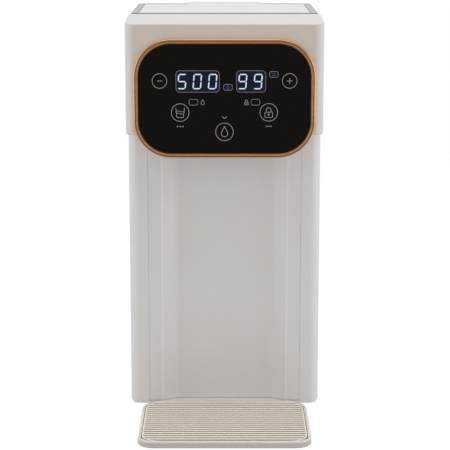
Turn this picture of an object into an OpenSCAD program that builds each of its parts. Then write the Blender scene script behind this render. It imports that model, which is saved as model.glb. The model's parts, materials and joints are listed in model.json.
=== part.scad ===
// Countertop instant hot-water dispenser: a slim tower with an overhanging head, a glass touch panel in a
// copper ring, a lift-out rear tank with a hinged lid, and a drip tray with a slatted grate.
// Millimetres, +Z up, front towards -Y, origin at the bottom centre of the whole part.

/* [Body] */
// Width of the body across its sides
body_w = 180; // [166:1:210]
// Depth of the body from the column's front face to its back
body_d = 180; // [170:1:220]
// Height of the column from its lower edge to the head
column_h = 266; // [250:1:300]
// Depth of the tower between the column's front face and the tank
tower_d = 36; // [34:1:50]
// Height of the base compartment from its lower edge to the tank platform
base_h = 181; // [165:1:200]
// Wall of the housing
wall = 2.5; // [2:0.1:3.5]
// Radius of the body's upright corners
corner_r = 9; // [6:0.5:16]
// Radius of the body's lower edge
bottom_r = 4; // [2:0.5:5]
// Width of the inward flange round the base opening
base_flange = 12; // [10:0.5:16]
// Height of the rim that surrounds the tank's foot
tank_rim_h = 11; // [6:0.5:20]
// Thickness of the rim that surrounds the tank's foot
tank_rim_t = 1.7; // [1.2:0.1:2]
// Width of the housing's front return on each side of the column panel
return_w = 18; // [15:0.5:24]
// Diameter of the hole for the supply cord's gland
gland_d = 16; // [12:0.5:20]

/* [Column panel] */
// Thickness of the column panel
panel_t = 2.3; // [1.8:0.1:3]
// Width of each outer flat between the seam and the crease
flat_w = 12; // [8:0.5:16]
// Width of each sloping facet
facet_w = 14; // [8:0.5:20]
// How far the centre of the panel is set back
facet_d = 8; // [3:0.5:9]
// Width of the flange that lies behind each front return
flange_w = 8; // [5:0.5:10]

/* [Head] */
// How far the head overhangs the column
head_overhang = 39; // [36:1:60]
// Height of the head's front face
head_h = 101; // [96:1:130]
// Rise of the head's top from its front edge to its rear edge
crown_rise = 3.8; // [2:0.1:8]

/* [Control panel] */
// Margin between the trim ring and each side of the head
ring_margin = 7.8; // [5:0.1:11]
// Height of the trim ring
ring_h = 107.6; // [102:0.2:116]
// Outer corner radius of the trim ring
ring_r = 34; // [28:0.5:40]
// Face width of the trim ring
ring_band = 4; // [3:0.1:6]
// Thickness of the trim ring
ring_t = 3; // [2.6:0.1:5]
// How far the trim ring hangs below the head
ring_drop = 20; // [14:0.5:26]
// Thickness of the touch glass
glass_t = 2; // [1.5:0.1:2.5]
// Wall of the nose behind the control panel
nose_wall = 2.2; // [1.8:0.1:2.8]
// Distance from the touch glass to the display board
board_gap = 7.8; // [7:0.1:12]
// Thickness of the circuit boards
board_t = 1.6; // [1:0.1:2.4]
// Height of both number displays
display_h = 20.3; // [16:0.1:22]
// Width of the volume display
volume_w = 40.2; // [36:0.1:44]
// Width of the temperature display
temperature_w = 27.6; // [24:0.1:34]
// Diameter of each touch pad
pad_d = 12; // [8:0.5:13]

/* [Tray] */
// How far the drip tray reaches ahead of the column
tray_reach = 123; // [110:1:160]
// Width of the drip tray
tray_w = 156; // [140:1:170]
// Height of the drip tray
tray_h = 6.2; // [5.5:0.1:12]
// Width of the drip tray's rim
tray_wall = 2.9; // [1.6:0.1:4]
// Floor of the drip tray
tray_floor = 1.2; // [1:0.1:2]
// Front corner radius of the drip tray
tray_front_r = 15; // [12:0.5:24]
// Rear corner radius of the drip tray
tray_rear_r = 24; // [16:0.5:30]
// Width of the tongue that slides under the body
tongue_w = 80; // [50:1:100]
// Length of the tongue that slides under the body
tongue_l = 30; // [20:1:40]
// Number of slots in the grate
slot_count = 20; // [10:1:24]
// Width of each slot in the grate
slot_w = 2.6; // [2:0.1:3.2]
// Width of the border round the slots
grate_border = 2.8; // [2.4:0.1:8]
// Front corner radius of the grate, larger than the tray's so that a fingertip finds its edge
grate_front_r = 17; // [12:0.5:24]
// Thickness of the grate
grate_t = 2.4; // [1.8:0.1:3]

/* [Tank] */
// Wall of the tank
tank_wall = 2.4; // [2:0.1:3]
// Floor of the tank
tank_floor = 3; // [2.5:0.1:4]
// How far the tank's top rim stands above the head
deck_step = 0.7; // [0.3:0.1:2]
// Width of the tank's top rim on both sides
rim_w = 7; // [6:0.5:9]
// Width of the ledge that carries the lid
lid_ledge = 5; // [3:0.5:7]
// Thickness of the lid
lid_t = 3; // [2.4:0.1:4]
// Radius of the hinge barrel
barrel_r = 5; // [4.5:0.1:6]
// Length of the lid's hinge barrel
barrel_l = 74; // [40:1:84]
// Length of the hinge pin that each side of the rim holds
pin_grip = 9; // [6:0.2:14]
// Diameter of the hinge pin
pin_d = 3; // [2:0.1:4]
// Outer diameter of the tank's outlet port
port_d = 22; // [20:0.5:26]
// Length of the outlet port below the tank
port_l = 11.3; // [10:0.1:12]
// Diameter of the valve stem
stem_d = 4; // [3:0.1:4.4]
// Lift of the valve while the tank is seated
valve_lift = 3; // [2:0.1:3.5]
// Diameter of the level float
float_d = 22; // [18:0.5:26]
// Height of the level float
float_h = 18; // [12:0.5:22]
// Travel of the level float
float_travel = 25; // [15:1:40]
// Diameter of the float's guide post
post_d = 5; // [4:0.1:6]

/* [Water path] */
// Outer diameter of the silicone hoses
hose_d = 13; // [12:0.2:14]
// Outer diameter of the hose spigots
spigot_d = 9; // [7:0.2:10]
// Bore of the hose spigots
spigot_bore = 6; // [4:0.2:6.5]
// Length of the hose spigots
spigot_l = 10; // [8:0.5:12]
// Bend radius of the outlet hose
bend_r = 14; // [12:0.5:15]
// Outer diameter of the heater
heater_d = 42; // [36:1:50]
// Height of the heater's barrel
heater_h = 60; // [50:1:72]
// Outer diameter of the pump's chamber
volute_d = 44; // [38:1:50]
// Diameter of the pump's motor
motor_d = 34; // [28:1:36]
// Height of the pump's motor
motor_h = 34; // [30:1:42]
// Outer diameter of the flow meter
meter_d = 24; // [22:0.5:30]
// Height of the flow meter
meter_h = 30; // [26:0.5:32]
// Outer diameter of the nozzle
nozzle_d = 13; // [12:0.5:16]

/* [Feet and fasteners] */
// Height of the rubber feet
foot_h = 3; // [2.8:0.1:5]
// Diameter of the rubber feet
foot_d = 18; // [14:0.5:22]
// Diameter of the screws
screw_d = 3; // [2.5:0.1:3.4]
// Diameter of the screw heads
screw_head_d = 5.8; // [5:0.1:6.2]

/* [Clearances] */
// Gap between pieces that part or slide
gap = 0.3; // [0.2:0.05:0.5]
// Radial clearance of turning and sliding shafts
running = 0.06; // [0.03:0.01:0.1]
// Radial clearance of pieces that stay put
snug = 0.05; // [0.02:0.01:0.1]

/* [Hidden] */
$fn = 64;

// Overlap that lets a cut run clear of the face it starts from
over = 1;
// Radius of edges that are only broken
broken_r = 0.5;

// Depths, front to back
total_d = body_d + tray_reach;
tray_y = -total_d / 2;
back_y = total_d / 2;
col_y = back_y - body_d;
head_y = col_y - head_overhang;
tower_y = col_y + tower_d;

// Heights
z_base = foot_h;
flange_t = wall;
z_floor = z_base + flange_t;
plate_t = 2.5;
z_bench = z_floor + plate_t;
z_platform = z_base + base_h;
platform_t = 3;
z_seat = z_platform + platform_t;
z_rim = z_platform + tank_rim_h;
z_head = z_base + column_h;
z_front = z_head + head_h;
z_crown = z_front + crown_rise;
z_deck = z_crown + deck_step;
plate_y0 = col_y + facet_d + panel_t + 2 * gap;
ledge_t = 2.5;
ledge_w = 3;

// Head crown, a cylinder lying across the head
head_l = tower_y - head_y;
crown_r = (head_l * head_l + crown_rise * crown_rise) / (2 * crown_rise);

// Column panel
seam_x = body_w / 2 - return_w;
crease_x = seam_x - flat_w;
facet_x = crease_x - facet_w;

// Control panel
panel_proud = 0.4;
panel_y = head_y - panel_proud;
panel_z = z_head - ring_drop + ring_h / 2;
ring_w = body_w - 2 * ring_margin;
ring_lap = 1.2;
nose_w = ring_w - 2 * ring_lap;
nose_h = ring_h - 2 * ring_lap;
nose_r = ring_r - ring_lap;
nose_back = col_y - gap;
nose_floor = panel_z - nose_h / 2 + nose_wall;
glass_w = ring_w - 2 * ring_band - gap;
glass_h = ring_h - 2 * ring_band - gap;
glass_r = ring_r - ring_band;
window_w = 137;
window_h = 68;
window_lift = -4;
window_r = 10;
board_y = panel_y + board_gap;
board_side = 11.3;
board_low = 2.9;
board_high = 7.9;
board_w = nose_w - 2 * nose_wall - 2 * board_side;
board_h = nose_h - 2 * nose_wall - board_low - board_high;
board_lift = (board_low - board_high) / 2;
board_r = 18;
boss_d = 7;
boss_side = 14;
boss_end = 4;
boss_x = board_w / 2 - boss_side;
boss_lifts = [board_lift + board_h / 2 - boss_end, board_lift - board_h / 2 + boss_end];
volume_at = [-23.9, 15.9];
temperature_at = [24.6, 15.9];
pads_at = [[-58.4, 15.9], [59.2, 16.1], [-39.7, -12.8], [40.4, -12.7], [0.4, -30]];

// Nozzle and separator
nozzle_ahead = 15;
nozzle_y = col_y - nozzle_ahead;
nozzle_out = 4;
nozzle_tip = nose_floor - nose_wall - nozzle_out;
nozzle_lip = 1.5;
nozzle_flange_t = 2.1;
nozzle_flange_w = 2.5;
nozzle_top = nose_floor + nozzle_flange_t + spigot_l;
separator_d = 20;
separator_h = 28;
separator_wall = 2;
separator_lap = 3;
separator_z = nozzle_top - separator_lap;
outlet_lift = 18;
outlet_z = separator_z + outlet_lift;
nose_gate = 2;

// Water path, all on the middle plane
hose_r = hose_d / 2;
hose_bore_r = spigot_d / 2 + snug;
port_inset = 40;
port_y = back_y - port_inset;
heater_behind = 19;
heater_y = tower_y + heater_behind;
riser_ahead = 14;
riser_y = tower_y - riser_ahead;
pump_foot = 4;
pump_z = z_bench + pump_foot;
volute_h = 20;
volute_wall = 4;
volute_floor = 3;
volute_z = pump_z + motor_h;
volute_top = volute_z + volute_h;
cross_z = volute_z + volute_h / 2;
cap_h = 14;
cap_lap = 1;
heater_z = cross_z + cap_h / 2;
heater_top = heater_z + heater_h;
top_cap_h = 8;
heater_out = heater_top + top_cap_h;
heater_wall = 4;
cap_floor = 2.5;
cutout_d = 16;
cutout_t = 6;
cutout_pad = 2;
cutout_lifts = [28, 48];
sensor_d = 4;
sensor_out = 6;
sensor_collar = 3;
sensor_z = heater_top + cap_floor;
bracket_t = 2;
bracket_w = 20;
bracket_lift = 4;
bracket_band = 10;
bracket_foot = 14;
socket_depth = 16;
socket_floor = 3;
socket_wall = 3;
socket_z = z_platform - socket_depth;
socket_in = socket_z + socket_floor;
pump_hose_l = 28;
meter_z = volute_top + pump_hose_l;
meter_top = meter_z + meter_h;
meter_wall = 3;
spider_t = 2;
spider_w = 3;
spider_hub_r = 2.2;
spider_zs = [meter_z + meter_wall + over, meter_top - meter_wall - over - spider_t];
axle_d = 2;
turbine_hub_r = 2.5;
blade_t = 1.2;
blade_gap = 0.6;
blade_count = 6;
rotor_shaft_d = 4;
rotor_shaft_l = 18;
rotor_disc_t = 2;
rotor_hub_r = 4;
rotor_hub_h = 7;
rotor_gap = 2;
vane_t = 1.8;
vane_h = 9;
vane_count = 6;
mount_wall = 4;
mount_h = 12;

// Tank
tank_w = body_w - 2 * tank_rim_t - 2 * gap;
tank_corner_r = corner_r - tank_rim_t - gap;
tank_gap = 0.5;
tank_y0 = tower_y + tank_gap;
tank_y1 = back_y - tank_rim_t - gap;
tank_z = z_seat + gap;
tank_in = tank_z + tank_floor;
rim_h = 6.5;
rim_z = z_deck - lid_t - rim_h;
lid_z = z_deck - lid_t;
hinge_y = tank_y1 - barrel_r;
hinge_z = lid_z;
recess_y1 = hinge_y - barrel_r + broken_r;
hinge_relief = 0.7;
lid_y1 = hinge_y - sqrt(pow(hinge_y - recess_y1, 2) + lid_t * lid_t) - hinge_relief;
lid_rear_r = 2;
lid_front_r = 1;
recess_y0 = tank_y0 + tank_wall;
lid_y0 = recess_y0 + gap;
recess_w = tank_w - 2 * rim_w;
lid_w = recess_w - 2 * gap;
mouth_w = recess_w - 2 * lid_ledge;
mouth_y0 = recess_y0 + lid_ledge;
mouth_y1 = recess_y1 - lid_ledge;
gasket_h = 2;
gasket_t = 3;
gasket_slack = 0.5;
port_bore = 17;
port_z = tank_z - port_l;
seal_t = 2.5;
float_x = 52;
float_inset = 20;
float_y = tank_y0 + float_inset;
float_stand = 2.4;
float_z = tank_in + float_stand + gap;
post_h = float_stand + float_h + float_travel + 2 * gap;
post_head_t = 3;
post_lap = 2.5;
magnet_d = 6;
magnet_h = 4;
magnet_wall = 1.5;
magnet_y = float_y - float_d / 2 + magnet_d / 2 + magnet_wall;
reed_w = 12;
reed_t = 4;
reed_h = 20;
probe_d = 4;
probe_h = 7;
probe_top = socket_in + probe_h;
bridge_t = 2.4;
bridge_h = 2;
seat_wall = 2.5;
seat_lap = 1;
seal_lift = 6;
seal_h = 4;
seal_z = socket_in + seal_lift;
collar_t = 1.3;
collar_z = probe_top + gap;
collar_w = 2.2;
guide_t = 3;
guide_rim = 1.5;
guide_hub = 2;
guide_arm = 1.8;
guide_z = tank_z - guide_t - gap;
disc_z = tank_in + valve_lift;
disc_lap = 1.5;
stem_head_t = 2.2;
stem_head_w = 3;
filter_lap = 5.5;
filter_wall = 1.5;
filter_room = 10;
filter_slots = 12;
filter_slot_w = 2.4;

// Tray
tray_gap = 0.6;
tray_y1 = col_y - tray_gap;
tray_z = gap;
tray_top = tray_z + tray_h;
tray_ledge = 2.5;
tongue_t = 2;
grate_sink = 0.4;
grate_z = tray_top - grate_t - grate_sink;
grate_rib = 2;
grate_rib_y0 = tray_y + tray_wall + tray_ledge + gap;
grate_rib_y1 = tray_y1 - tray_wall - tray_ledge - gap;
slot_y0 = tray_y + tray_wall + gap + grate_border;
slot_y1 = tray_y1 - tray_wall - gap - grate_border;
slot_pitch = (slot_y1 - slot_y0 - slot_w) / (slot_count - 1);

// Fasteners, feet and brackets
head_depth = 1.5;
foot_inset = 5;
foot_stem_d = 6;
foot_stem_out = 0.8;
foot_x = body_w / 2 - base_flange - foot_d / 2 - foot_inset;
foot_ys = [col_y + base_flange + foot_d / 2 + foot_inset, back_y - base_flange - foot_d / 2 - foot_inset];
base_screw_inset = 4.5;
base_screw_end = 30;
base_screw_x = body_w / 2 - wall - base_screw_inset;
base_screw_ys = [col_y + base_screw_end, back_y - base_screw_end];
back_t = 2.5;
back_sink = 0.1;
back_y0 = tower_y - back_sink - back_t;
rib_w = 7.5;
rib_d = 6;
rib_end = 8;
rib_x = body_w / 2 - wall - rib_w;
rib_screw_x = rib_x + rib_w / 2;
rib_screw_l = 5;
rib_screw_low = 20;
rib_screw_high = 14;
rib_screw_zs = [z_rim + rib_screw_low, z_head - rib_screw_high];
board_head_t = 2;

// Electrics
standoff_l = 8;
standoff_d = 6;
standoff_bore = 2.4;
standoff_inset = 5;
power_x = body_w / 2 - wall - standoff_l;
power_face = power_x - board_t;
power_l = 80;
power_behind = 15;
power_y0 = heater_y + power_behind;
power_y1 = power_y0 + power_l;
power_h = 96;
power_lift = 40;
power_z0 = z_bench + power_lift;
power_z1 = power_z0 + power_h;
transformer = [24, 32, 32];
relay = [16, 20, 24];
parts_inset = 10;
capacitor_d = 14;
capacitor_l = 18;
capacitor_drop = 22;
gland_side = 30;
gland_x = gland_side - body_w / 2;
gland_lift = 20;
gland_z = z_bench + gland_lift;
gland_flange = 3;
cord_bore = 7.5;

// Valve spring, a helix between the stem's collar and the guide
spring_wire_r = 0.3;
spring_gap = 0.8;
spring_r = stem_d / 2 + spring_gap + spring_wire_r;
spring_turns = 3;
spring_steps = 8;
spring_sides = 6;
spring_z0 = collar_z + collar_t + spring_wire_r;
spring_rise = guide_z - collar_z - collar_t - 2 * spring_wire_r;

// Plan outline of width w from y0 to y1, with radius r0 at the y0 corners and r1 at the y1 corners
module outline(w, y0, y1, r0, r1) {
    mid = (y0 + y1) / 2;
    translate([-w / 2, y0 + r0]) square([w, y1 - y0 - r0 - r1]);
    translate([-w / 2 + r0, y0]) square([w - 2 * r0, mid - y0]);
    translate([-w / 2 + r1, mid]) square([w - 2 * r1, y1 - mid]);
    for (s = [-1, 1]) {
        translate([s * (w / 2 - r0), y0 + r0]) circle(r0);
        translate([s * (w / 2 - r1), y1 - r1]) circle(r1);
    }
}

module rounded(w, h, r) { outline(w, -h / 2, h / 2, r, r); }

// Extrusions of a plan, a front view and a side view
module plan(z0, z1) { translate([0, 0, z0]) linear_extrude(z1 - z0) children(); }
module front(y0, y1) { translate([0, y1, 0]) rotate([90, 0, 0]) linear_extrude(y1 - y0) children(); }
module side(x0, x1) { translate([x0, 0, 0]) rotate([90, 0, 90]) linear_extrude(x1 - x0) children(); }

// Round bars along each axis, from one coordinate to the other
module bar_x(x0, x1, y, z, r) { translate([x0, y, z]) rotate([0, 90, 0]) cylinder(r = r, h = x1 - x0); }
module bar_y(y0, y1, x, z, r) { translate([x, y1, z]) rotate([90, 0, 0]) cylinder(r = r, h = y1 - y0); }
module bar_z(z0, z1, x, y, r) { translate([x, y, z0]) cylinder(r = r, h = z1 - z0); }

// Block given by its two corners
module block(a, b) { translate(a) cube(b - a); }

// Quarter bend of the outlet hose about a centre on the middle plane
module bend(y, z, turn, r) {
    translate([0, y, z]) rotate([90, 0, 90]) rotate([0, 0, turn])
        rotate_extrude(angle = 90) translate([bend_r, 0]) circle(r);
}

// Shape of the control panel's outlines, seen from the front
module panel_shape(w, h, r) { translate([0, panel_z]) rounded(w, h, r); }

// Places of the repeated fasteners
module base_screw_places() {
    for (s = [-1, 1], y = base_screw_ys) translate([s * base_screw_x, y, 0]) children();
}
module foot_places() {
    for (s = [-1, 1], y = foot_ys) translate([s * foot_x, y, 0]) children();
}
module rib_screw_places() {
    for (s = [-1, 1], z = rib_screw_zs) translate([s * rib_screw_x, 0, z]) children();
}
module board_boss_places() {
    for (s = [-1, 1], z = boss_lifts) translate([s * boss_x, 0, panel_z + z]) children();
}
module power_boss_places() {
    for (y = [power_y0 + standoff_inset, power_y1 - standoff_inset])
        for (z = [power_z0 + standoff_inset, power_z1 - standoff_inset]) translate([0, y, z]) children();
}

// Housing

module shell_form() {
    intersection() {
        plan(z_base, z_head) outline(body_w, col_y, back_y, corner_r, corner_r);
        side(-body_w / 2, body_w / 2)
            polygon([[col_y, z_base], [back_y, z_base], [back_y, z_rim], [tower_y, z_rim],
                     [tower_y, z_head], [col_y, z_head]]);
        front(col_y, back_y) outline(body_w, z_base, z_head, bottom_r, broken_r);
    }
}

module shell_room(z0, z1, t) {
    plan(z0, z1) outline(body_w - 2 * t, col_y + t, back_y - t, corner_r - t, corner_r - t);
}

module main_shell() {
    color([0.84, 0.82, 0.79]) difference() {
        union() {
            difference() {
                shell_form();
                shell_room(z_floor, z_platform - ledge_t, wall);
                shell_room(z_platform - ledge_t - over, z_platform + over, wall + ledge_w);
                intersection() {
                    shell_room(z_platform, z_rim + over, tank_rim_t);
                    block([-body_w, tower_y, z_base], [body_w, back_y + over, z_head]);
                }
                intersection() {
                    shell_room(z_floor, z_head + over, wall);
                    block([-body_w, col_y, z_base], [body_w, back_y0, z_head + over]);
                }
                block([wall - body_w / 2, back_y0 - over, z_platform],
                      [body_w / 2 - wall, tower_y + over, z_head + over]);
                plan(z_base - over, z_floor + over)
                    outline(body_w - 2 * base_flange, col_y + base_flange, back_y - base_flange,
                            corner_r, corner_r);
                block([-seam_x, col_y - over, z_floor], [seam_x, col_y + wall + over, z_head + over]);
            }
            for (s = [-1, 1]) {
                xs = [s * rib_x, s * (body_w / 2 - wall / 2)];
                block([min(xs), back_y0 - rib_d, rib_screw_zs[0] - rib_end],
                      [max(xs), back_y0, rib_screw_zs[1] + rib_end]);
            }
            power_boss_places() bar_x(power_x, body_w / 2 - wall / 2, 0, 0, standoff_d / 2);
        }
        base_screw_places() {
            bar_z(z_base - over, z_base + head_depth + snug, 0, 0, screw_head_d / 2 + snug);
            bar_z(z_base, z_floor + over, 0, 0, screw_d / 2 + snug);
        }
        rib_screw_places() bar_y(back_y0 - rib_d - over, back_y0 + over, 0, 0, screw_d / 2 + snug);
        bar_y(back_y - wall - over, back_y + over, gland_x, gland_z, gland_d / 2 + snug);
    }
}

module base_plate() {
    color([0.30, 0.30, 0.31]) difference() {
        intersection() {
            shell_room(z_floor, z_bench, wall + gap);
            block([-body_w, plate_y0, z_base], [body_w, back_y, z_bench + over]);
        }
        base_screw_places() bar_z(z_floor - over, z_bench + over, 0, 0, screw_d / 2 + snug);
        foot_places() bar_z(z_floor - over, z_bench + over, 0, 0, foot_stem_d / 2 + snug);
    }
}

module rubber_feet() {
    color([0.12, 0.12, 0.12]) foot_places() {
        bar_z(0, z_floor, 0, 0, foot_d / 2);
        bar_z(z_floor - over, z_bench + foot_stem_out, 0, 0, foot_stem_d / 2);
    }
}

module front_column() {
    edge_x = seam_x - gap;
    flange_x = edge_x + flange_w;
    flange_y = col_y + wall + gap;
    rear_y = flange_y + panel_t;
    right = [[edge_x, flange_y], [edge_x, col_y], [crease_x, col_y], [facet_x, col_y + facet_d]];
    rear = [[facet_x - 1, col_y + facet_d + panel_t], [crease_x - 2, max(rear_y, col_y + panel_t)],
            [flange_x, rear_y], [flange_x, flange_y]];
    left_front = [for (i = [len(right) - 1:-1:0]) [-right[i][0], right[i][1]]];
    left_rear = [for (i = [len(rear) - 1:-1:0]) [-rear[i][0], rear[i][1]]];
    color([0.82, 0.80, 0.78]) plan(z_floor + gap, z_head - gap)
        polygon(concat(right, left_front, left_rear, rear));
}

module head_form(t) {
    intersection() {
        plan(z_head + t, z_crown) outline(body_w - 2 * t, head_y + t, tower_y + t, corner_r - t, broken_r);
        translate([-body_w / 2, tower_y, z_crown - crown_r]) rotate([0, 90, 0])
            cylinder(r = crown_r - t, h = body_w, $fn = 720);
    }
}

module head_shell() {
    color([0.83, 0.80, 0.77]) difference() {
        head_form(0);
        head_form(wall);
        block([wall - body_w / 2, col_y + wall, z_head - over],
              [body_w / 2 - wall, tower_y + over, z_head + wall + over]);
        front(head_y - over, col_y) panel_shape(nose_w + 2 * gap, nose_h + 2 * gap, nose_r + gap);
    }
}

module tower_back() {
    color([0.80, 0.78, 0.76]) difference() {
        block([wall + gap - body_w / 2, back_y0, z_platform],
              [body_w / 2 - wall - gap, back_y0 + back_t, z_crown - wall - gap]);
        rib_screw_places() {
            bar_y(back_y0 - over, back_y0 + back_t + over, 0, 0, screw_d / 2 + snug);
            bar_y(back_y0 + back_t - head_depth, back_y0 + back_t + over, 0, 0, screw_head_d / 2 + snug);
        }
    }
}

// Control panel

module nose_shell() {
    color([0.80, 0.78, 0.75]) difference() {
        union() {
            difference() {
                front(panel_y, nose_back) panel_shape(nose_w, nose_h, nose_r);
                front(panel_y + nose_wall, nose_back - nose_wall)
                    panel_shape(nose_w - 2 * nose_wall, nose_h - 2 * nose_wall, nose_r - nose_wall);
                front(panel_y - over, panel_y + nose_wall + over)
                    translate([0, window_lift]) panel_shape(window_w, window_h, window_r);
                block([-window_w / 2, nose_back - nose_wall - over, z_head + nose_gate],
                      [window_w / 2, nose_back + over, panel_z + window_h / 2]);
            }
            board_boss_places() bar_y(panel_y + nose_wall / 2, board_y, 0, 0, boss_d / 2);
        }
        board_boss_places() bar_y(panel_y + nose_wall, board_y + over, 0, 0, screw_d / 2 + snug);
        bar_z(nose_floor - nose_wall - over, nose_floor + over, 0, nozzle_y, nozzle_d / 2 + snug);
    }
}

module trim_ring() {
    color([0.72, 0.44, 0.27]) difference() {
        front(panel_y - ring_t, panel_y) panel_shape(ring_w, ring_h, ring_r);
        front(panel_y - ring_t - over, panel_y + over)
            panel_shape(ring_w - 2 * ring_band, ring_h - 2 * ring_band, ring_r - ring_band);
    }
}

module touch_glass() {
    color([0.05, 0.05, 0.05]) front(panel_y - glass_t, panel_y) panel_shape(glass_w, glass_h, glass_r);
}

module display_board() {
    color([0.10, 0.32, 0.18]) difference() {
        front(board_y, board_y + board_t) translate([0, board_lift]) panel_shape(board_w, board_h, board_r);
        board_boss_places() bar_y(board_y - over, board_y + board_t + over, 0, 0, screw_d / 2 + snug);
    }
}

module display_block(at, w) {
    translate([at[0], 0, panel_z + at[1]])
        block([-w / 2, panel_y + snug, -display_h / 2], [w / 2, board_y, display_h / 2]);
}

module volume_display() { color([0.70, 0.78, 0.95]) display_block(volume_at, volume_w); }

module temperature_display() { color([0.70, 0.78, 0.95]) display_block(temperature_at, temperature_w); }

module touch_pads() {
    color([0.25, 0.25, 0.25]) for (p = pads_at) bar_y(panel_y + snug, board_y, p[0], panel_z + p[1], pad_d / 2);
}

module board_screws() {
    color([0.75, 0.75, 0.75]) board_boss_places() {
        bar_y(board_y + board_t, board_y + board_t + board_head_t, 0, 0, screw_head_d / 2);
        bar_y(panel_y + nose_wall + gap, board_y + board_t + over, 0, 0, screw_d / 2);
    }
}

// Nozzle and water path

module nozzle() {
    color([0.78, 0.79, 0.80]) difference() {
        union() {
            bar_z(nozzle_tip, nose_floor + over, 0, nozzle_y, nozzle_d / 2);
            bar_z(nose_floor, nose_floor + nozzle_flange_t, 0, nozzle_y, nozzle_d / 2 + nozzle_flange_w);
            bar_z(nose_floor, nozzle_top, 0, nozzle_y, spigot_d / 2);
        }
        bar_z(nozzle_tip - over, nozzle_top + over, 0, nozzle_y, spigot_bore / 2);
        bar_z(nozzle_tip - over, nozzle_tip + nozzle_out, 0, nozzle_y, nozzle_d / 2 - nozzle_lip);
    }
}

module steam_separator() {
    room_z = separator_z + separator_lap + separator_wall;
    color([0.90, 0.90, 0.88]) difference() {
        union() {
            bar_z(separator_z, separator_z + separator_h, 0, nozzle_y, separator_d / 2);
            bar_y(nozzle_y, nozzle_y + separator_d / 2 + spigot_l, 0, outlet_z, spigot_d / 2);
        }
        bar_z(separator_z - over, room_z + over, 0, nozzle_y, hose_bore_r);
        bar_z(room_z, separator_z + separator_h - separator_wall, 0, nozzle_y,
              separator_d / 2 - separator_wall);
        bar_y(nozzle_y, nozzle_y + separator_d / 2 + spigot_l + over, 0, outlet_z, spigot_bore / 2);
    }
}

module outlet_run(r, past) {
    first_z = heater_out + spigot_l;
    low_z = first_z + bend_r;
    bar_z(heater_out + gap - past, first_z, 0, heater_y, r);
    bend(heater_y - bend_r, first_z, 0, r);
    bar_y(riser_y + bend_r, heater_y - bend_r, 0, low_z, r);
    bend(riser_y + bend_r, low_z + bend_r, 180, r);
    bar_z(low_z + bend_r, outlet_z - bend_r, 0, riser_y, r);
    bend(riser_y - bend_r, outlet_z - bend_r, 0, r);
    bar_y(nozzle_y + separator_d / 2 + gap - past, riser_y - bend_r, 0, outlet_z, r);
}

module outlet_hose() {
    color([0.88, 0.87, 0.85]) difference() {
        outlet_run(hose_r, 0);
        outlet_run(hose_bore_r, over);
    }
}

// Straight hose between two spigots
module hose_z(z0, z1, y) {
    color([0.88, 0.87, 0.85]) difference() {
        bar_z(z0 + gap, z1 - gap, 0, y, hose_r);
        bar_z(z0, z1, 0, y, hose_bore_r);
    }
}

module pump_hose() { hose_z(volute_top, meter_z, port_y); }

module inlet_hose() { hose_z(meter_top, socket_z, port_y); }

module heater_hose() {
    y0 = heater_y + heater_d / 2 + cap_lap;
    y1 = port_y - volute_d / 2;
    color([0.88, 0.87, 0.85]) difference() {
        bar_y(y0 + gap, y1 - gap, 0, cross_z, hose_r);
        bar_y(y0, y1, 0, cross_z, hose_bore_r);
    }
}

module cutout_places() {
    for (z = cutout_lifts) translate([-heater_d / 2, heater_y, heater_z + z]) children();
}

module heater_body() {
    color([0.80, 0.80, 0.82]) difference() {
        union() {
            bar_z(heater_z, heater_top, 0, heater_y, heater_d / 2);
            cutout_places() bar_x(-cutout_pad, heater_d / 2, 0, 0, cutout_d / 2);
        }
        bar_z(heater_z - over, heater_top + over, 0, heater_y, heater_d / 2 - heater_wall);
    }
}

module heater_end_caps() {
    cap_r = heater_d / 2 + cap_lap;
    chamber_r = heater_d / 2 - heater_wall;
    color([0.20, 0.20, 0.21]) {
        difference() {
            union() {
                bar_z(heater_z - cap_h, heater_z, 0, heater_y, cap_r);
                bar_y(heater_y, heater_y + cap_r + spigot_l, 0, cross_z, spigot_d / 2);
            }
            bar_z(heater_z - cap_h + cap_floor, heater_z + over, 0, heater_y, chamber_r);
            bar_y(heater_y, heater_y + cap_r + spigot_l + over, 0, cross_z, spigot_bore / 2);
        }
        difference() {
            union() {
                bar_z(heater_top, heater_out, 0, heater_y, cap_r);
                bar_z(heater_top, heater_out + spigot_l, 0, heater_y, spigot_d / 2);
            }
            bar_z(heater_top - over, heater_out - cap_floor, 0, heater_y, chamber_r);
            bar_z(heater_top, heater_out + spigot_l + over, 0, heater_y, spigot_bore / 2);
            bar_x(0, cap_r + over, heater_y, sensor_z, sensor_d / 2 + snug);
        }
    }
}

module heater_bracket() {
    band_z = heater_z + bracket_lift;
    strap_y = heater_y - heater_d / 2 - bracket_t;
    color([0.72, 0.73, 0.74]) difference() {
        union() {
            bar_z(band_z, band_z + bracket_band, 0, heater_y, heater_d / 2 + bracket_t);
            block([-bracket_w / 2, strap_y - bracket_t, z_bench],
                  [bracket_w / 2, strap_y + bracket_t, band_z + bracket_band]);
            block([-bracket_w / 2, strap_y - bracket_foot, z_bench],
                  [bracket_w / 2, strap_y, z_bench + bracket_t]);
        }
        bar_z(band_z - over, band_z + bracket_band + over, 0, heater_y, heater_d / 2 + snug);
        bar_z(z_bench, band_z, 0, heater_y, heater_d / 2 + cap_lap + gap);
        bar_z(z_bench - over, z_bench + bracket_t + over, 0, strap_y - bracket_foot / 2, screw_d / 2 + snug);
    }
}

module thermal_cutouts() {
    color([0.88, 0.85, 0.78]) cutout_places()
        bar_x(-cutout_pad - cutout_t, -cutout_pad, 0, 0, cutout_d / 2 - broken_r);
}

module temperature_sensor() {
    cap_r = heater_d / 2 + cap_lap;
    color([0.85, 0.70, 0.40]) {
        bar_x(cap_r - heater_wall, cap_r + sensor_out, heater_y, sensor_z, sensor_d / 2);
        bar_x(cap_r, cap_r + sensor_collar, heater_y, sensor_z, sensor_d / 2 + broken_r);
    }
}

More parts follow.
